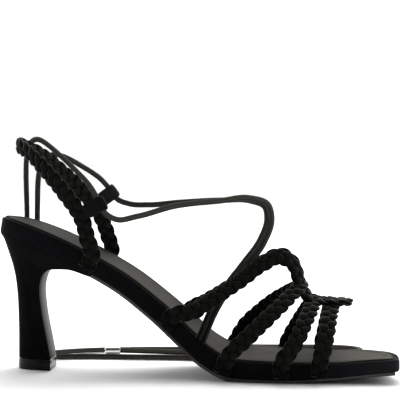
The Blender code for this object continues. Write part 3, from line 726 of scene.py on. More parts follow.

# %% [markdown]
# ## Free ends of the ties
# Each tie is a narrow strip of suede, folded and sewn into a cord about 3 mm thick, limp, and a
# little over half a metre long after its loop. Untied, it is thrown over the sling's outer strap,
# falls behind the heel and lies on the floor in loose curves. A simulation could drop it there, but
# listed points give the curves that are wanted. The section is a soft square with a seam along
# two sides, swept along a path whose frames never twist.

# %% Tie section and routes
TIE_OVER_FLOOR = 0.2
FLOOR_TIE_Z = TIE_RADIUS + TIE_OVER_FLOOR
TIE_STEP = 1.3
TIE_AROUND = 16
TIE_SQUARE = 0.82
TIE_LIGHT = 0.35
SEAM_DEPTH = 0.28
SEAM_WIDTH = 0.22
SEAM_DARK = 0.8
EASING = 20
LOOP_LEAVE = 9.0


def on_floor(*rows):
    """Points of a tie that lies on the floor."""
    return [RoutePoint(x, y, FLOOR_TIE_Z) for x, y in rows]


TIE_END_INNER = route_points(
    (-72.0, -17.0, 119.0), (-84.0, -5.0, 128.0), (-93.0, 4.5, 133.8), (-99.5, 11.3, 136.4),
    (-104.3, 16.8, 133.8), (-106.8, 20.7, 127.2), (-107.6, 22.8, 118.0), (-107.4, 23.9, 105.0),
    (-107.0, 24.7, 93.0), (-106.8, 24.9, 77.0), (-106.8, 25.0, 51.0), (-106.8, 25.1, 28.0),
    (-106.8, 25.6, 15.0), (-106.6, 28.4, 6.4), (-105.8, 33.4, 2.6),
) + on_floor(
    (-103.6, 40.6), (-98.0, 51.0), (-88.0, 62.5), (-72.0, 73.0), (-50.0, 81.5),
    (-24.0, 88.0), (4.0, 92.0), (36.0, 92.0), (64.0, 91.0), (82.0, 93.0),
    (94.5, 98.5), (98.5, 108.0), (93.0, 117.0), (79.0, 120.5), (54.0, 116.0),
    (26.0, 111.5),
) + route_points(
    (8.0, 111.3, 2.3), (-4.0, 112.0, 2.75),
)
TIE_END_OUTER = route_points(
    (-73.0, 23.8, 119.4), (-83.0, 22.4, 125.0), (-90.0, 23.2, 127.3), (-96.0, 25.8, 125.8),
    (-99.6, 28.0, 120.4), (-101.0, 28.8, 113.0), (-101.3, 28.9, 99.0), (-101.3, 28.9, 77.0),
    (-101.3, 28.9, 51.0), (-101.2, 29.0, 28.0), (-100.8, 29.3, 15.0), (-98.8, 31.0, 6.6),
    (-95.0, 33.8, 2.7),
) + on_floor(
    (-89.6, 37.0), (-80.0, 41.0), (-64.0, 44.5), (-42.0, 46.5), (-18.0, 49.0),
    (12.0, 48.0), (42.0, 50.0), (70.0, 49.0), (90.0, 50.0), (102.0, 55.0),
    (106.5, 64.5), (101.0, 74.0), (87.0, 78.0), (62.0, 74.0), (34.0, 71.0),
    (6.0, 73.0), (-20.0, 74.5),
) + route_points(
    (-42.0, 72.5, 2.3), (-54.0, 69.5, 2.75),
)


def eased(path, passes):
    """The path with its bends made rounder; its ends stay."""
    path = path.copy()
    for _ in range(passes):
        path[1:-1] = (path[:-2] + 2.0 * path[1:-1] + path[2:]) / 4.0
    return path


def tie_end_path(side):
    up, hole = loop_frame(side).up, loop_hole(side)
    route = [hole + up * 2 * GAP, hole + up * LOOP_LEAVE]
    route += [np.array(p) for p in (TIE_END_INNER if side < 0 else TIE_END_OUTER)]
    path = eased(smooth_path(route, TIE_STEP), EASING)
    path[:, 2] = np.maximum(path[:, 2], FLOOR_TIE_Z)
    return path


def tie_rings(path, facing):
    """Rings of a folded strip along a path, and how light the nap is: darker in the seams."""
    ahead = unit(np.gradient(path, axis=0))
    out = carried_normals(path, facing)
    across = np.cross(ahead, out)
    turns = even_turns(TIE_AROUND)
    soft_cos, soft_sin = soft_circle(turns, TIE_SQUARE)
    seam = np.exp(-(np.cos(turns) / SEAM_WIDTH) ** 2)
    reach = TIE_RADIUS - SEAM_DEPTH * seam
    rings = rings_along(path, out, across, reach * soft_cos, reach * soft_sin)
    return rings, np.tile(TIE_LIGHT - SEAM_DARK * seam, len(path))


def make_tie_end(which, path):
    rings, painted_light_and_tone = tie_rings(path, (0.0, 1.0, 0.0))
    points, faces = skin(rings)
    return new_piece("tie_lace_" + which, points, faces, "lace_suede", "tie_end_" + which, painted_light_and_tone)


print("free ends:", len(TIE_END_INNER), "and", len(TIE_END_OUTER), "points")

# %% [markdown]
# Each tie ends in a nickel tube, pressed over the cord: a turned profile with a rolled mouth and
# a folded tip. A bevelled cylinder would do from afar, but the rolled mouth is what catches the light.

# %% Free ends and their tips
TipRow = namedtuple("TipRow", "along radius")
TIP_ROWS = (
    TipRow(0.0, 1.9), TipRow(0.05, 2.2), TipRow(0.25, 2.45), TipRow(0.55, 2.5), TipRow(0.9, 2.46),
    TipRow(1.15, 2.38), TipRow(1.5, 2.38), TipRow(4.0, 2.4), TipRow(7.9, 2.4), TipRow(8.3, 2.42),
    TipRow(8.7, 2.5), TipRow(9.1, 2.46), TipRow(9.35, 2.25), TipRow(9.5, 1.9), TipRow(9.3, 1.6),
    TipRow(8.9, 1.5), TipRow(8.8, 0.4),
)
TIP_AROUND = 40
TIP_AIM_STEPS = 3


def make_tip(which, path):
    ahead = path[-1] - path[-1 - TIP_AIM_STEPS]
    ahead[2] = 0.0
    ahead = unit(ahead)
    across = np.array([-ahead[1], ahead[0], 0.0])
    turns = even_turns(TIP_AROUND)
    circle = across * np.cos(turns)[:, None] + np.array((0.0, 0.0, 1.0)) * np.sin(turns)[:, None]
    rings = [path[-1] + ahead * (GAP + row.along) + circle * row.radius for row in TIP_ROWS]
    points, faces = skin(rings)
    return new_piece("tip_" + which, points, faces, "nickel", "aglet_" + which, sharp_deg=50.0)


for side, which in SIDES:
    path = tie_end_path(side)
    tie, tip = make_tie_end(which, path), make_tip(which, path)

# %% [markdown]
# ## Ties over the instep
# The tie is one cord, folded in two where it is sewn in at the sole's inner edge. Its two strands climb
# side by side to the top of the instep, part there, and run back to the loops. They keep the curve
# they have when worn. The first ring is sunk in the sole, so the sewn end has no gap. Near that end
# shade is painted into the nap, which is made darker.

# %% Ties over the instep
TIE_FOOT_X = 3.2
TIE_FOOT_IN = 2.6
TIE_FOOT_UP = 2.6
TIE_FOOT_SUNK = 3.4
TIE_STRAND_ASIDE = 1.55
STRAND_SHARES = (1.0, 1.0, 1.0, 1.0, 1.0, 1.0, 1.0, 0.8, 0.3)
TIE_RISE = route_points(
    (10.6, -20.4, 39.5), (17.2, -12.6, 51.0), (27.6, -6.0, 65.0), (37.2, -2.0, 79.0),
)
TIE_PARTING = route_points(
    (41.0, 0.8, 91.0), (39.0, 4.0, 99.5), (29.0, 8.0, 103.0), (13.0, 14.0, 102.0),
)
TIE_TO_INNER_LOOP = route_points(
    (-13.0, -22.0, 99.2), (-34.0, -27.5, 93.1),
)
TIE_TO_OUTER_LOOP = route_points(
    (-13.0, 22.0, 99.4), (-34.0, 27.5, 97.1),
)
LOOP_BEND_DOWN = 12.0
LOOP_BEND_FRONT = 4.5
LOOP_ENTER = 4.5
TIE_FOOT_SHADE_LENGTH = 45.0
TIE_FOOT_PAINTED_SHADE = 0.9


def tie_strand(side):
    """One strand of the doubled part; the inner one lies on the outside of the bend."""
    section = sole_at(run_at_x(TIE_FOOT_X))
    foot = sole_point(section, section.inner + TIE_FOOT_IN, -TIE_FOOT_UP)
    middle = [foot] + [np.array(p) for p in TIE_RISE]
    middle = np.array(middle + [np.array((p.x, side * p.y, p.z)) for p in TIE_PARTING])
    ahead = np.gradient(middle, axis=0)
    aside = unit(np.stack([ahead[:, 2], np.zeros(len(middle)), -ahead[:, 0]], axis=1))
    return list(middle - side * TIE_STRAND_ASIDE * np.array(STRAND_SHARES)[:, None] * aside)


def tie_instep_path(side):
    """From the sole's inner edge, over the instep, into the loop on one side."""
    back = [np.array(p) for p in (TIE_TO_INNER_LOOP if side < 0 else TIE_TO_OUTER_LOOP)]
    loop, hole = loop_frame(side), loop_hole(side)
    bend = hole - loop.up * LOOP_BEND_DOWN + loop.front * LOOP_BEND_FRONT
    route = tie_strand(side) + back + [bend, hole - loop.up * LOOP_ENTER, hole]
    sunk = route[0] - TIE_FOOT_SUNK * unit(route[1] - route[0])
    return smooth_path([sunk] + route, TIE_STEP)


def make_instep_ties():
    skins, painted_lights_and_tones = [], []
    for side, _ in SIDES:
        path = tie_instep_path(side)
        rings, painted_light_and_tone = tie_rings(path, (1.0, 0.0, 0.0))
        # Painted shade: the nap is darker near the tie's sewn foot.
        foot_shade_share = np.clip(1.0 - run_along(path) / TIE_FOOT_SHADE_LENGTH, 0.0, 1.0)
        skins.append(rings)
        painted_lights_and_tones.append(painted_light_and_tone - TIE_FOOT_PAINTED_SHADE * np.repeat(foot_shade_share, TIE_AROUND))
    points, faces = joined(skins)
    painted_light_and_tone = np.concatenate(painted_lights_and_tones)
    new_piece("instep_laces", points, faces, "lace_suede", "tie_instep", painted_light_and_tone)


make_instep_ties()

# %% [markdown]
# ## Plaited straps
# A plait of three strips could be faked with a bump map, but its scalloped edge shows against
# the white floor, so the strips are real. Seen flat, each strip swings from edge to edge as a sine,
# and rises and dips twice as fast; three of them a third of a turn apart go over and under by
# themselves. The strip leans outward where it lies on top, and grows thin where the strap is
# stuck to the sole's wall. Light and shade are painted into the nap: a painted highlight on the
# crests, weaker at the feet on the sole's wall, and painted shade between the strips.

# %% Plait
Strip = namedtuple("Strip", "lift thick wide lean_deg square around step")
STRIP = Strip(lift=1.05, thick=1.25, wide=2.55, lean_deg=16.0, square=0.78, around=14, step=0.62)
FIRST_PHASE_DEG = 30.0
HALF_PITCH_DEG = 60.0
FEWEST_HALF_PITCHES = 2
FOOT_LENGTH = 10.0
FOOT_THIN = 0.62
FOOT_TRIM = 2
STRIP_COUNT = 3
IRREGULAR = 0.07
WANDER_LEAST = 4
WANDER_STEPS = 18
CREST_PAINTED_HIGHLIGHT = 1.4
CREVICE_PAINTED_SHADE = 0.4
FOOT_PAINTED_SHADE = 0.7


def plait_fullness(run):
    """How full the plait is: thinner at both ends, which are stuck to the sole's wall."""
    nearest = np.minimum(run, run[-1] - run)
    t = np.clip(nearest / FOOT_LENGTH, 0.0, 1.0)
    return FOOT_THIN + (1.0 - FOOT_THIN) * t * t * (3.0 - 2.0 * t)


def slow_wander(count, draws):
    """A smooth random line around zero, for strips that are not all alike."""
    knots = np.linspace(0.0, count - 1.0, max(WANDER_LEAST, count // WANDER_STEPS))
    return np.interp(np.arange(count), knots, draws.uniform(-1.0, 1.0, len(knots)))


def plait_strips(route, outward_of, draws, inside_painted_light):
    """Ring tubes of the three strips along a route, and the painted light and shade of the nap at each
    point.
    """
    path = smooth_path(route, STRIP.step)[FOOT_TRIM:-FOOT_TRIM]
    run = run_along(path)
    _, out, across = frames_along(path, outward_of(path))
    half_pitches = max(FEWEST_HALF_PITCHES, round(run[-1] / (PLAIT_PITCH / 2)))
    phase = math.radians(FIRST_PHASE_DEG) + math.radians(HALF_PITCH_DEG) * half_pitches * run / run[-1]
    full = plait_fullness(run)
    middle = path - out * (PLAIT_DEEP * (1.0 - full))[:, None]
    foot_shade_share = (1.0 - full) / (1.0 - FOOT_THIN)
    soft_cos, soft_sin = soft_circle(even_turns(STRIP.around), STRIP.square)
    skins, painted_lights_and_tones = [], []
    for k in range(STRIP_COUNT):
        turn = phase + k * 2.0 * math.pi / STRIP_COUNT
        swing = np.sin(turn)
        rise = np.sin(2.0 * turn)
        wander = 1.0 + IRREGULAR * slow_wander(len(path), draws)
        line = (middle + across * (STRAND_SWING * swing)[:, None]
                + out * (STRIP.lift * full * rise)[:, None])
        lean = math.radians(STRIP.lean_deg) * rise * swing
        facing = out * np.cos(lean)[:, None] + across * np.sin(lean)[:, None]
        _, top, wide = frames_along(line, facing)
        half = (STRAND_HALF + (STRIP.wide - STRAND_HALF) * (1.0 - swing ** 2)) * wander
        thick = STRIP.thick * full * wander
        skins.append(rings_along(line, top, wide, thick[:, None] * soft_cos, half[:, None] * soft_sin))
        # Painted highlight where a strip lies on top, less at the feet, and painted shade between strips.
        on_top = np.clip(rise[:, None] * soft_cos[None, :], 0.0, 1.0)
        painted_light_and_tone = CREST_PAINTED_HIGHLIGHT * on_top * (1.0 - FOOT_PAINTED_SHADE * foot_shade_share)[:, None] - CREVICE_PAINTED_SHADE
        # Painted light on the strips' inner faces, used for the sling.
        painted_light_and_tone = painted_light_and_tone + inside_painted_light * on_top * (soft_cos < 0.0)[None, :]
        painted_lights_and_tones.append(painted_light_and_tone.ravel())
    return skins, painted_lights_and_tones


print("a plait has", STRIP_COUNT, "strips and is", 2 * PLAIT_HALF, "mm wide")

# %% [markdown]
# The vamp is one long hairpin strap, from the inner edge of the sole up to the instep, down over the
# toes and back to the outer edge, with three straps across the foot passing under it. Every route
# could be a list of points, as the hairpin's is, but a strap across the foot is nearly two quarters
# of an ellipse, so its feet and its crown are enough.

# %% Vamp routes
HAIRPIN_FOOT_X = -12.0
HAIRPIN_INNER = route_points(
    (-2.0, -28.0, 38.6), (8.0, -23.0, 44.7), (24.0, -15.0, 55.5), (38.5, -10.0, 66.2),
    (48.5, -8.0, 70.2), (55.0, -7.0, 66.4), (58.6, -7.0, 58.5), (61.0, -7.0, 51.2),
    (66.5, -7.0, 45.8), (76.5, -7.0, 44.2), (83.5, -5.0, 44.1),
)
HAIRPIN_TURN = RoutePoint(86.8, 0.0, 44.1)
OUTER_FORWARD = 4.0
OUTER_SPREAD = 5.0
OUTER_SHARE = 0.6
UPRIGHT = 8.0
HAIRPIN_LEAN = 0.45
HAIRPIN_LEAN_RISE = 20.0
HAIRPIN_FLAT_FROM = 50.0
HAIRPIN_FLAT_AT = 76.0
HAIRPIN_FORWARD = 3.2
CrossStrap = namedtuple("CrossStrap", "name inner_x outer_x crown_x crown_z inner_lean outer_lean")
CROSS_STRAPS = (
    CrossStrap("instep", 19.6, 20.0, 60.0, 53.5, 1.05, 1.42),
    CrossStrap("ball", 51.0, 51.0, 67.8, 44.3, 0.8, 1.1),
    CrossStrap("toe", 72.4, 72.8, 78.2, 41.8, 0.8, 1.1),
)
CROSS_ANGLES_DEG = (15, 30, 45, 60, 75)


def height_over_wall(path):
    """How far each point stands above the top of the sole's wall."""
    return np.array([max(p[2] - sole_at(run_at_x(p[0])).z - UPRIGHT, 0.0) for p in path])


def outward_of_foot(path):
    """Away from the middle of the foot: sideways low down, and more and more upwards."""
    return np.stack([np.zeros(len(path)), path[:, 1], height_over_wall(path)], axis=1)


def outward_of_hairpin(path):
    """Sideways along the legs, forwards where they drop, and upwards over the toes."""
    side = np.where(path[:, 1] > 0, 1.0, -1.0)
    lean = HAIRPIN_LEAN * np.clip(height_over_wall(path) / HAIRPIN_LEAN_RISE, 0.0, 1.0)
    flat = np.clip((path[:, 0] - HAIRPIN_FLAT_FROM) / (HAIRPIN_FLAT_AT - HAIRPIN_FLAT_FROM), 0.0, 1.0)
    forward = HAIRPIN_FORWARD * flat * (1.0 - flat)
    return np.stack([forward, side * (1.0 - flat), lean + (1.0 - lean) * flat], axis=1)


def hairpin_route():
    inner = wall_foot(HAIRPIN_FOOT_X, -1, STANDING) + [np.array(p) for p in HAIRPIN_INNER]
    outer = [np.array((p.x, -p.y, p.z)) for p in HAIRPIN_INNER]
    reach = HAIRPIN_TURN.x - HAIRPIN_FOOT_X
    for point in outer:
        nearness = max(0.0, 1.0 - (point[0] - HAIRPIN_FOOT_X) / (OUTER_SHARE * reach))
        point[0] += OUTER_FORWARD * nearness
        point[1] += OUTER_SPREAD * nearness ** 2
    outer = wall_foot(HAIRPIN_FOOT_X + OUTER_FORWARD, 1, STANDING) + outer
    return inner + [np.array(HAIRPIN_TURN)] + outer[::-1]


def cross_strap_side(strap, side):
    """From the sole's edge up a quarter of an ellipse to the strap's crown."""
    foot_x, lean = strap.inner_x, strap.inner_lean
    if side > 0:
        foot_x, lean = strap.outer_x, strap.outer_lean
    foot = wall_foot(foot_x, side, STANDING)
    start = foot[-1]
    rising = []
    for angle in CROSS_ANGLES_DEG:
        rise = math.sin(math.radians(angle))
        rising.append(np.array([
            start[0] + (strap.crown_x - start[0]) * rise ** lean,
            start[1] * math.cos(math.radians(angle)),
            start[2] + (strap.crown_z - start[2]) * rise,
        ]))
    return foot + rising


def cross_route(strap):
    crown = [np.array([strap.crown_x, 0.0, strap.crown_z])]
    return cross_strap_side(strap, -1) + crown + cross_strap_side(strap, 1)[::-1]


print("straps across the foot:", ", ".join(strap.name for strap in CROSS_STRAPS))

# %% [markdown]
# All straps of the vamp are one piece, and the sling is another. Strips that are all alike would look
# like a machine's, so each wanders a little in width. A seed for each piece makes that the same on
# every run. Light is painted on the inside of the sling: its nap is made lighter there.

# %% Vamp and sling
VAMP_SEED = 11
SLING_SEED = 23
SLING_INSIDE_PAINTED_LIGHT = 3.5


def make_plaits(name, straps, replaced, seed, inside_painted_light=0.0):
    """One piece of several plaits, each a route and the way its face looks."""
    draws = np.random.default_rng(seed)
    skins, painted_lights_and_tones = [], []
    for route, outward_of in straps:
        more_skins, more_painted_lights_and_tones = plait_strips(route, outward_of, draws, inside_painted_light)
        skins += more_skins
        painted_lights_and_tones += more_painted_lights_and_tones
    points, faces = joined(skins)
    new_piece(name, points, faces, "plait_suede", replaced, np.concatenate(painted_lights_and_tones))


vamp_straps = [(hairpin_route(), outward_of_hairpin)]
vamp_straps += [(cross_route(strap), outward_of_foot) for strap in CROSS_STRAPS]
make_plaits("vamp_plaits", vamp_straps, "vamp", VAMP_SEED)
make_plaits("sling_plait", [(sling_route(), outward_of_heel)], "sling", SLING_SEED, SLING_INSIDE_PAINTED_LIGHT)

# %% [markdown]
# ## Loops on the sling
# Each loop is a short band of suede sewn round to hold a tie at the sling's front edge. A torus would
# be too round for a band, so a small section goes round a rounded rectangle, a little fuller in the
# middle than at its rims. Its back wall reaches into the strap's edge, where it is sewn. Light is
# painted on the nap of both loops, much more on the outer one.

# %% Loops
LOOP_CORNER = 1.6
LOOP_CORNER_STEPS = 7
LOOP_PUFF = 0.25
LOOP_TAB = 2.4
LOOP_PAINTED_LIGHT = {-1: 0.8, 1: 4.5}
LoopRow = namedtuple("LoopRow", "height wall")
LOOP_RISE = (
    LoopRow(-1.0, 0.2), LoopRow(-0.97, 0.5), LoopRow(-0.88, 0.76), LoopRow(-0.7, 0.93), LoopRow(-0.4, 1.0),
    LoopRow(0.0, 1.0),
)
LOOP_FALL = tuple(LoopRow(-row.height, row.wall) for row in LOOP_RISE[-2::-1])
LOOP_INSIDE = (LoopRow(0.95, 0.0), LoopRow(0.0, 0.0), LoopRow(-0.95, 0.0))


def rounded_rectangle(low_u, high_u, half_v, corner):
    """Outline points of a rectangle with round corners, going once round."""
    outline = []
    corners = ((high_u, half_v), (low_u, half_v), (low_u, -half_v), (high_u, -half_v))
    for quarter, (u, v) in enumerate(corners):
        centre_u = u - math.copysign(corner, u - (low_u + high_u) / 2)
        centre_v = v - math.copysign(corner, v)
        for step in range(LOOP_CORNER_STEPS):
            turn = math.pi / 2 * (quarter + step / (LOOP_CORNER_STEPS - 1))
            outline.append((centre_u + corner * math.cos(turn), centre_v + corner * math.sin(turn)))
    return np.array(outline)


def make_loop(which, side):
    loop = loop_frame(side)
    deep = TIE_RADIUS + LOOP_CLEAR
    rings = []
    for row in LOOP_RISE + LOOP_FALL + LOOP_INSIDE:
        wall = LOOP_WALL * row.wall + LOOP_PUFF * max(0.0, 1.0 - row.height ** 2) * row.wall
        back = LOOP_BACK - wall - LOOP_TAB * row.wall
        front = LOOP_BACK + LOOP_SLOT + wall
        outline = rounded_rectangle(back, front, deep + wall, LOOP_CORNER + wall)
        rings.append(loop.centre + loop.up * (row.height * LOOP_WIDE / 2)
                     + loop.front * outline[:, :1] + loop.out * outline[:, 1:])
    rings = np.array(rings)
    rows, count = rings.shape[:2]
    index = np.arange(rows * count).reshape(rows, count)
    far = np.roll(index, -1, 0)
    quads = np.stack([index, np.roll(index, -1, 1), np.roll(far, -1, 1), far], axis=-1).reshape(-1, 4)
    # Painted light: the loop's nap is made lighter, the outer one much more.
    painted_light_and_tone = np.full(rows * count, LOOP_PAINTED_LIGHT[side])
    new_piece("loop_" + which, rings.reshape(-1, 3), quads.tolist(), "wrap_suede",
              "keeper_" + which, painted_light_and_tone)


for side, which in SIDES:
    make_loop(which, side)

# %% [markdown]
# ## Footbed
# The footbed is a board wrapped in suede: its walls are upright, its edges round, and its top a
# little hollow for the foot. A bevelled box would do for a flat sole, but this one bends and tapers, so
# sections follow each other closely. Each end is closed by a few shrinking rings, so the rim is round
# at the heel and the toe too. Light is painted on the nap, which is made lighter towards both ends,
# most at the toe.

# %% Footbed
EDGE_ROUND = 1.2
DISH = 0.8
CORNER_STEPS = 5
TOP_STEPS = 20
SECTION_STEP = 1.6
END_STEPS = 4
FOOTBED_LIGHT_PLACES = (-116.0, -80.0, 62.0, 112.0)
FOOTBED_PAINTED_LIGHT = (0.9, 0.3, 0.1, 2.4)


def hollow(y, inner, outer):
    """How far the footbed's top dips at y between two edges."""
    u = (2.0 * y - inner - outer) / (outer - inner)
    return DISH * (1.0 - u * u)


def corner_arc(y, depth, side, turn_from, turn_to):
    turns = np.radians(np.linspace(turn_from, turn_to, CORNER_STEPS))
    return [(y + side * EDGE_ROUND * math.cos(t), depth - EDGE_ROUND * math.sin(t)) for t in turns]


def footbed_profile(section, shrink):
    """Outline of a section as (y, depth) points, drawn in by a length all round."""
    inner, outer = section.inner + shrink, section.outer - shrink
    top, bottom = shrink, section.thick - shrink
    profile = corner_arc(inner + EDGE_ROUND, bottom - EDGE_ROUND, -1, -90, 0)
    profile += corner_arc(inner + EDGE_ROUND, top + EDGE_ROUND, -1, 0, 90)
    for y in np.linspace(inner + EDGE_ROUND, outer - EDGE_ROUND, TOP_STEPS)[1:-1]:
        profile.append((y, top + hollow(y, inner + EDGE_ROUND, outer - EDGE_ROUND)))
    profile += corner_arc(outer - EDGE_ROUND, top + EDGE_ROUND, 1, 90, 0)
    profile += corner_arc(outer - EDGE_ROUND, bottom - EDGE_ROUND, 1, 0, -90)
    return profile


def make_footbed():
    runs = np.linspace(EDGE_ROUND, SOLE_RUN - EDGE_ROUND, round(SOLE_RUN / SECTION_STEP))
    places = [(run, 0.0) for run in runs]
    for step in range(1, END_STEPS + 1):
        turn = math.pi / 2 * step / END_STEPS
        beyond, shrink = EDGE_ROUND * math.sin(turn), EDGE_ROUND * (1.0 - math.cos(turn))
        places.insert(0, (EDGE_ROUND - beyond, shrink))
        places.append((SOLE_RUN - EDGE_ROUND + beyond, shrink))
    rings = []
    for run, shrink in places:
        section = sole_at(run)
        rings.append([sole_point(section, y, depth) for y, depth in footbed_profile(section, shrink)])
    points, faces = skin(rings)
    # Painted light: the wrap's nap is lighter towards both ends, most at the toe.
    painted_light_and_tone = np.interp(points[:, 0], FOOTBED_LIGHT_PLACES, FOOTBED_PAINTED_LIGHT)
    new_piece("footbed_wrap", points, faces, "wrap_suede", "footbed", painted_light_and_tone, sharp_deg=60.0)


make_footbed()

# %% [markdown]
# ## Insole
# A thin lining is glued on top. It ends a few millimetres inside the rim, and a pressed line runs
# round it inside its edge. The line could be a bump in the finish, but real depth holds up close. It
# follows the outline at an even distance, so each point of a fine grid asks how far it is from the
# outline and takes its height from that.

# %% Insole
INSOLE = 0.8
INSOLE_INSET = 3.2
LEAST_KEPT = 0.55
LINING_STEP = 0.9
LINING_COLUMNS = 84
LINE_INSIDE = 4.6
LINE_HALF = 0.55
LINE_DEPTH = 0.4
EDGE_LEAST = 0.15
END_POINTS = 9


def lining_edges(run, end):
    """The lining's two edges in the section at that run."""
    section = sole_at(run)
    shaped = sole_at(SOLE_RUN * (run - INSOLE_INSET) / (end - INSOLE_INSET))
    middle = (shaped.inner + shaped.outer) / 2
    half = (shaped.outer - shaped.inner) / 2
    kept = max(half - INSOLE_INSET, LEAST_KEPT * half)
    return max(middle - kept, section.inner + EDGE_ROUND), min(middle + kept, section.outer - EDGE_ROUND)


def make_insole():
    end = SOLE_RUN - INSOLE_INSET
    runs = np.linspace(INSOLE_INSET, end, round((end - INSOLE_INSET) / LINING_STEP))
    edges = np.array([lining_edges(run, end) for run in runs])
    share = 0.5 - 0.5 * np.cos(np.linspace(0.0, math.pi, LINING_COLUMNS))
    across = edges[:, :1] + (edges[:, 1:] - edges[:, :1]) * share
    outline = np.concatenate([
        np.stack([runs, edges[:, 0]], axis=1), np.stack([runs, edges[:, 1]], axis=1),
        *(np.stack([np.full(END_POINTS, runs[k]), np.linspace(*edges[k], END_POINTS)], axis=1)
          for k in (0, -1))])
    rings = []
    for run, row in zip(runs, across):
        section = sole_at(run)
        inside = np.array([np.hypot(outline[:, 0] - run, outline[:, 1] - y).min() for y in row])
        roundness = np.sqrt(1.0 - (1.0 - np.clip(inside / INSOLE, 0.0, 1.0)) ** 2)
        height = INSOLE * (EDGE_LEAST + (1.0 - EDGE_LEAST) * roundness)
        height -= LINE_DEPTH * np.exp(-((inside - LINE_INSIDE) / LINE_HALF) ** 2)
        inner, outer = section.inner + EDGE_ROUND, section.outer - EDGE_ROUND
        floor = [hollow(y, inner, outer) - GAP for y in row]
        ring = [sole_point(section, y, f - h) for y, f, h in zip(row, floor, height)]
        ring += [sole_point(section, y, f) for y, f in zip(row[::-1], floor[::-1])]
        rings.append(ring)
    points, faces = skin(rings)
    new_piece("insole_lining", points, faces, "lining_skin", "insole", sharp_deg=60.0)


make_insole()

# %% [markdown]
# ## Outsole
# A thin sheet covers the underside from the heel's lip to the toe. The footbed's underside could just
# have another finish, but a sheet set in from the edge makes the small step that a real sole has.
# Where the ball of the foot presses it on the floor it is flat.

# %% Outsole
LIP_X = -56.0
OUTSOLE = 1.7
OUTSOLE_INSET = 1.5
SHEET_ROUND = 0.5
PRESSED_FLAT = 0.4
PRESSED_BLEND = 1.2
SHEET_COLUMNS = 24


def pressed_height(z):
    """Heights near the floor pressed flat on it, with a soft start."""
    if z < PRESSED_FLAT:
        return 0.0
    if z < PRESSED_BLEND:
        return (z - PRESSED_FLAT) * PRESSED_BLEND / (PRESSED_BLEND - PRESSED_FLAT)
    return z


def make_outsole():
    runs = np.arange(run_at_x(LIP_X) + GAP, SOLE_RUN - OUTSOLE_INSET, SECTION_STEP)
    rings = []
    for run in runs:
        section = sole_at(run)
        middle = (section.inner + section.outer) / 2
        half = (section.outer - section.inner) / 2
        half = max(half - OUTSOLE_INSET, LEAST_KEPT * half)
        top, bottom = section.thick + GAP, section.thick + GAP + OUTSOLE
        profile = [(middle + half * u, top) for u in np.linspace(-1.0, 1.0, SHEET_COLUMNS)]
        profile += [(middle + half, bottom - SHEET_ROUND)]
        inside = half - SHEET_ROUND
        profile += [(middle + inside * u, bottom) for u in np.linspace(1.0, -1.0, SHEET_COLUMNS)]
        profile += [(middle - half, bottom - SHEET_ROUND)]
        ring = [sole_point(section, y, depth) for y, depth in profile]
        for point in ring[SHEET_COLUMNS + 1:-1]:
            point[2] = pressed_height(point[2])
        rings.append(ring)
    points, faces = skin(rings)
    new_piece("outsole_sheet", points, faces, "sole_sheet", "outsole", sharp_deg=35.0)


make_outsole()

# %% [markdown]
# ## Heel and lift
# The heel is a block that flows out of the seat, narrows to a waist and flares again to the lift.
# Its back is round and its front, the breast, is flat. Two blocks joined by a boolean would leave a
# crease between them, so each row of the table is one slanted cut, and the cuts blend from the outline
# of the seat at the top to the small foot below. The breast is polished, most on its outer side.

# %% Heel
HeelRow = namedtuple("HeelRow", "back_x back_z front_x front_z spread")
HEEL_ROWS = np.array((
    HeelRow(-106.2, 6.8, -85.7, 6.8, 0.0),
    HeelRow(-106.4, 21.0, -88.2, 19.0, 0.0),
    HeelRow(-107.0, 37.0, -91.3, 34.0, 0.02),
    HeelRow(-108.1, 50.0, -92.8, 47.0, 0.08),
    HeelRow(-109.9, 60.0, -91.4, 55.5, 0.2),
    HeelRow(-111.9, 67.0, -85.9, 60.2, 0.42),
    HeelRow(-113.9, 73.6, -75.5, 60.9, 0.75),
    HeelRow(-115.2, 77.4, -61.2, 57.2, 0.93),
))
HEEL_TIP_HALF = 11.5
HEEL_TIP_TAPER = 0.72
HEEL_ROUND = 0.5
SEAT_INSET = 0.5
CUTS_PER_ROW = 8
HEEL_SIDE_STEPS = 22
BREAST_STEPS = 12
BREAST_POLISH = 0.62


def heel_tip_half(along):
    """Half width of the heel's foot, round at the back and widest at the breast."""
    round_part = math.sqrt(1.0 - (1.0 - min(along / HEEL_ROUND, 1.0)) ** 2)
    return HEEL_TIP_HALF * (HEEL_TIP_TAPER + (1.0 - HEEL_TIP_TAPER) * along) * round_part


def seat_point(along, side):
    section = sole_at(SEAT_INSET + along * (run_at_x(LIP_X) - SEAT_INSET))
    reach = section.outer - SEAT_INSET if side > 0 else -section.inner - SEAT_INSET
    return sole_point(section, side * reach, section.thick + GAP)


SEAT_BACK, SEAT_FRONT = seat_point(0.0, 0.0), seat_point(1.0, 0.0)


def heel_point(row, along, side):
    seat = seat_point(along, side)
    line = SEAT_BACK + (SEAT_FRONT - SEAT_BACK) * along
    x = row.back_x + (row.front_x - row.back_x) * along + row.spread * (seat[0] - line[0])
    z = row.back_z + (row.front_z - row.back_z) * along + row.spread * (seat[2] - line[2])
    y_foot = side * heel_tip_half(along)
    return np.array([x, y_foot + row.spread * (seat[1] - y_foot), z])


def heel_ring(point_at):
    """A ring from the back round the outer side, the breast and the inner side."""
    stations = np.linspace(0.0, 1.0, HEEL_SIDE_STEPS + 1) ** 2
    sides = np.linspace(1.0, -1.0, BREAST_STEPS + 1)
    ring = [point_at(along, 1.0) for along in stations]
    ring += [point_at(1.0, side) for side in sides[1:-1]]
    ring += [point_at(along, -1.0) for along in stations[::-1][:-1]]
    return np.array(ring)


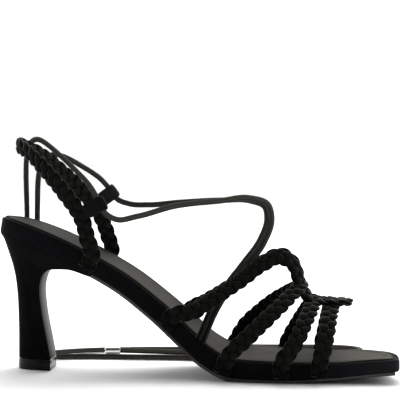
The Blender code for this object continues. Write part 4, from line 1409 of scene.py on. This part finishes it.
def heel_cuts():
    knots = np.arange(len(HEEL_ROWS), dtype=float)
    fine = np.linspace(0.0, knots[-1], CUTS_PER_ROW * (len(HEEL_ROWS) - 1) + 1)
    columns = [hermite(knots, HEEL_ROWS[:, k], even_slopes(knots, HEEL_ROWS[:, k]), fine)
               for k in range(HEEL_ROWS.shape[1])]
    return [HeelRow(*values) for values in zip(*columns)]


def seat_faces(ring):
    """Faces over the seat from side to side, since its outline is not flat."""
    faces = [[ring[0], ring[1], ring[-1]]]
    for k in range(1, HEEL_SIDE_STEPS - 1):
        faces.append([ring[k], ring[k + 1], ring[-k - 1], ring[-k]])
    faces.append(list(ring[HEEL_SIDE_STEPS - 1:len(ring) - HEEL_SIDE_STEPS + 2]))
    return faces


def make_heel():
    rings = [heel_ring(lambda along, side, row=row: heel_point(row, along, side)) for row in heel_cuts()]
    rings.append(heel_ring(seat_point))
    points, faces = skin(rings)
    faces = faces[:-1] + seat_faces(faces[-1])
    breast = np.zeros(len(rings[0]))
    fading = np.linspace(BREAST_POLISH, 0.0, BREAST_STEPS + 1)
    breast[HEEL_SIDE_STEPS + 1:HEEL_SIDE_STEPS + BREAST_STEPS] = fading[1:-1]
    polish = np.tile(breast, len(rings))
    new_piece("heel_block", points, faces, "wrap_suede", "heel", polish=polish, sharp_deg=45.0)


make_heel()

# %% [markdown]
# The lift is a hard plate under the heel's foot, with the same outline and a small bevel at its top
# and bottom edges, where a plain cut would look too sharp.

# %% Lift
LIFT_TOP = 6.5
LIFT_BEVEL = 0.35
LiftRow = namedtuple("LiftRow", "z drawn_in")
LIFT_ROWS = (LiftRow(0.0, LIFT_BEVEL), LiftRow(LIFT_BEVEL, 0.0), LiftRow(LIFT_TOP - LIFT_BEVEL, 0.0),
             LiftRow(LIFT_TOP, LIFT_BEVEL))


def make_lift():
    outline = heel_ring(lambda along, side: heel_point(HeelRow(*HEEL_ROWS[0]), along, side))
    middle = outline.mean(axis=0)
    rings = []
    for row in LIFT_ROWS:
        inward = middle - outline
        inward[:, 2] = 0.0
        ring = outline + unit(inward) * row.drawn_in
        ring[:, 2] = row.z
        rings.append(ring)
    points, faces = skin(rings)
    new_piece("lift_block", points, faces, "heel_lift", "heel_tip", sharp_deg=40.0)


make_lift()
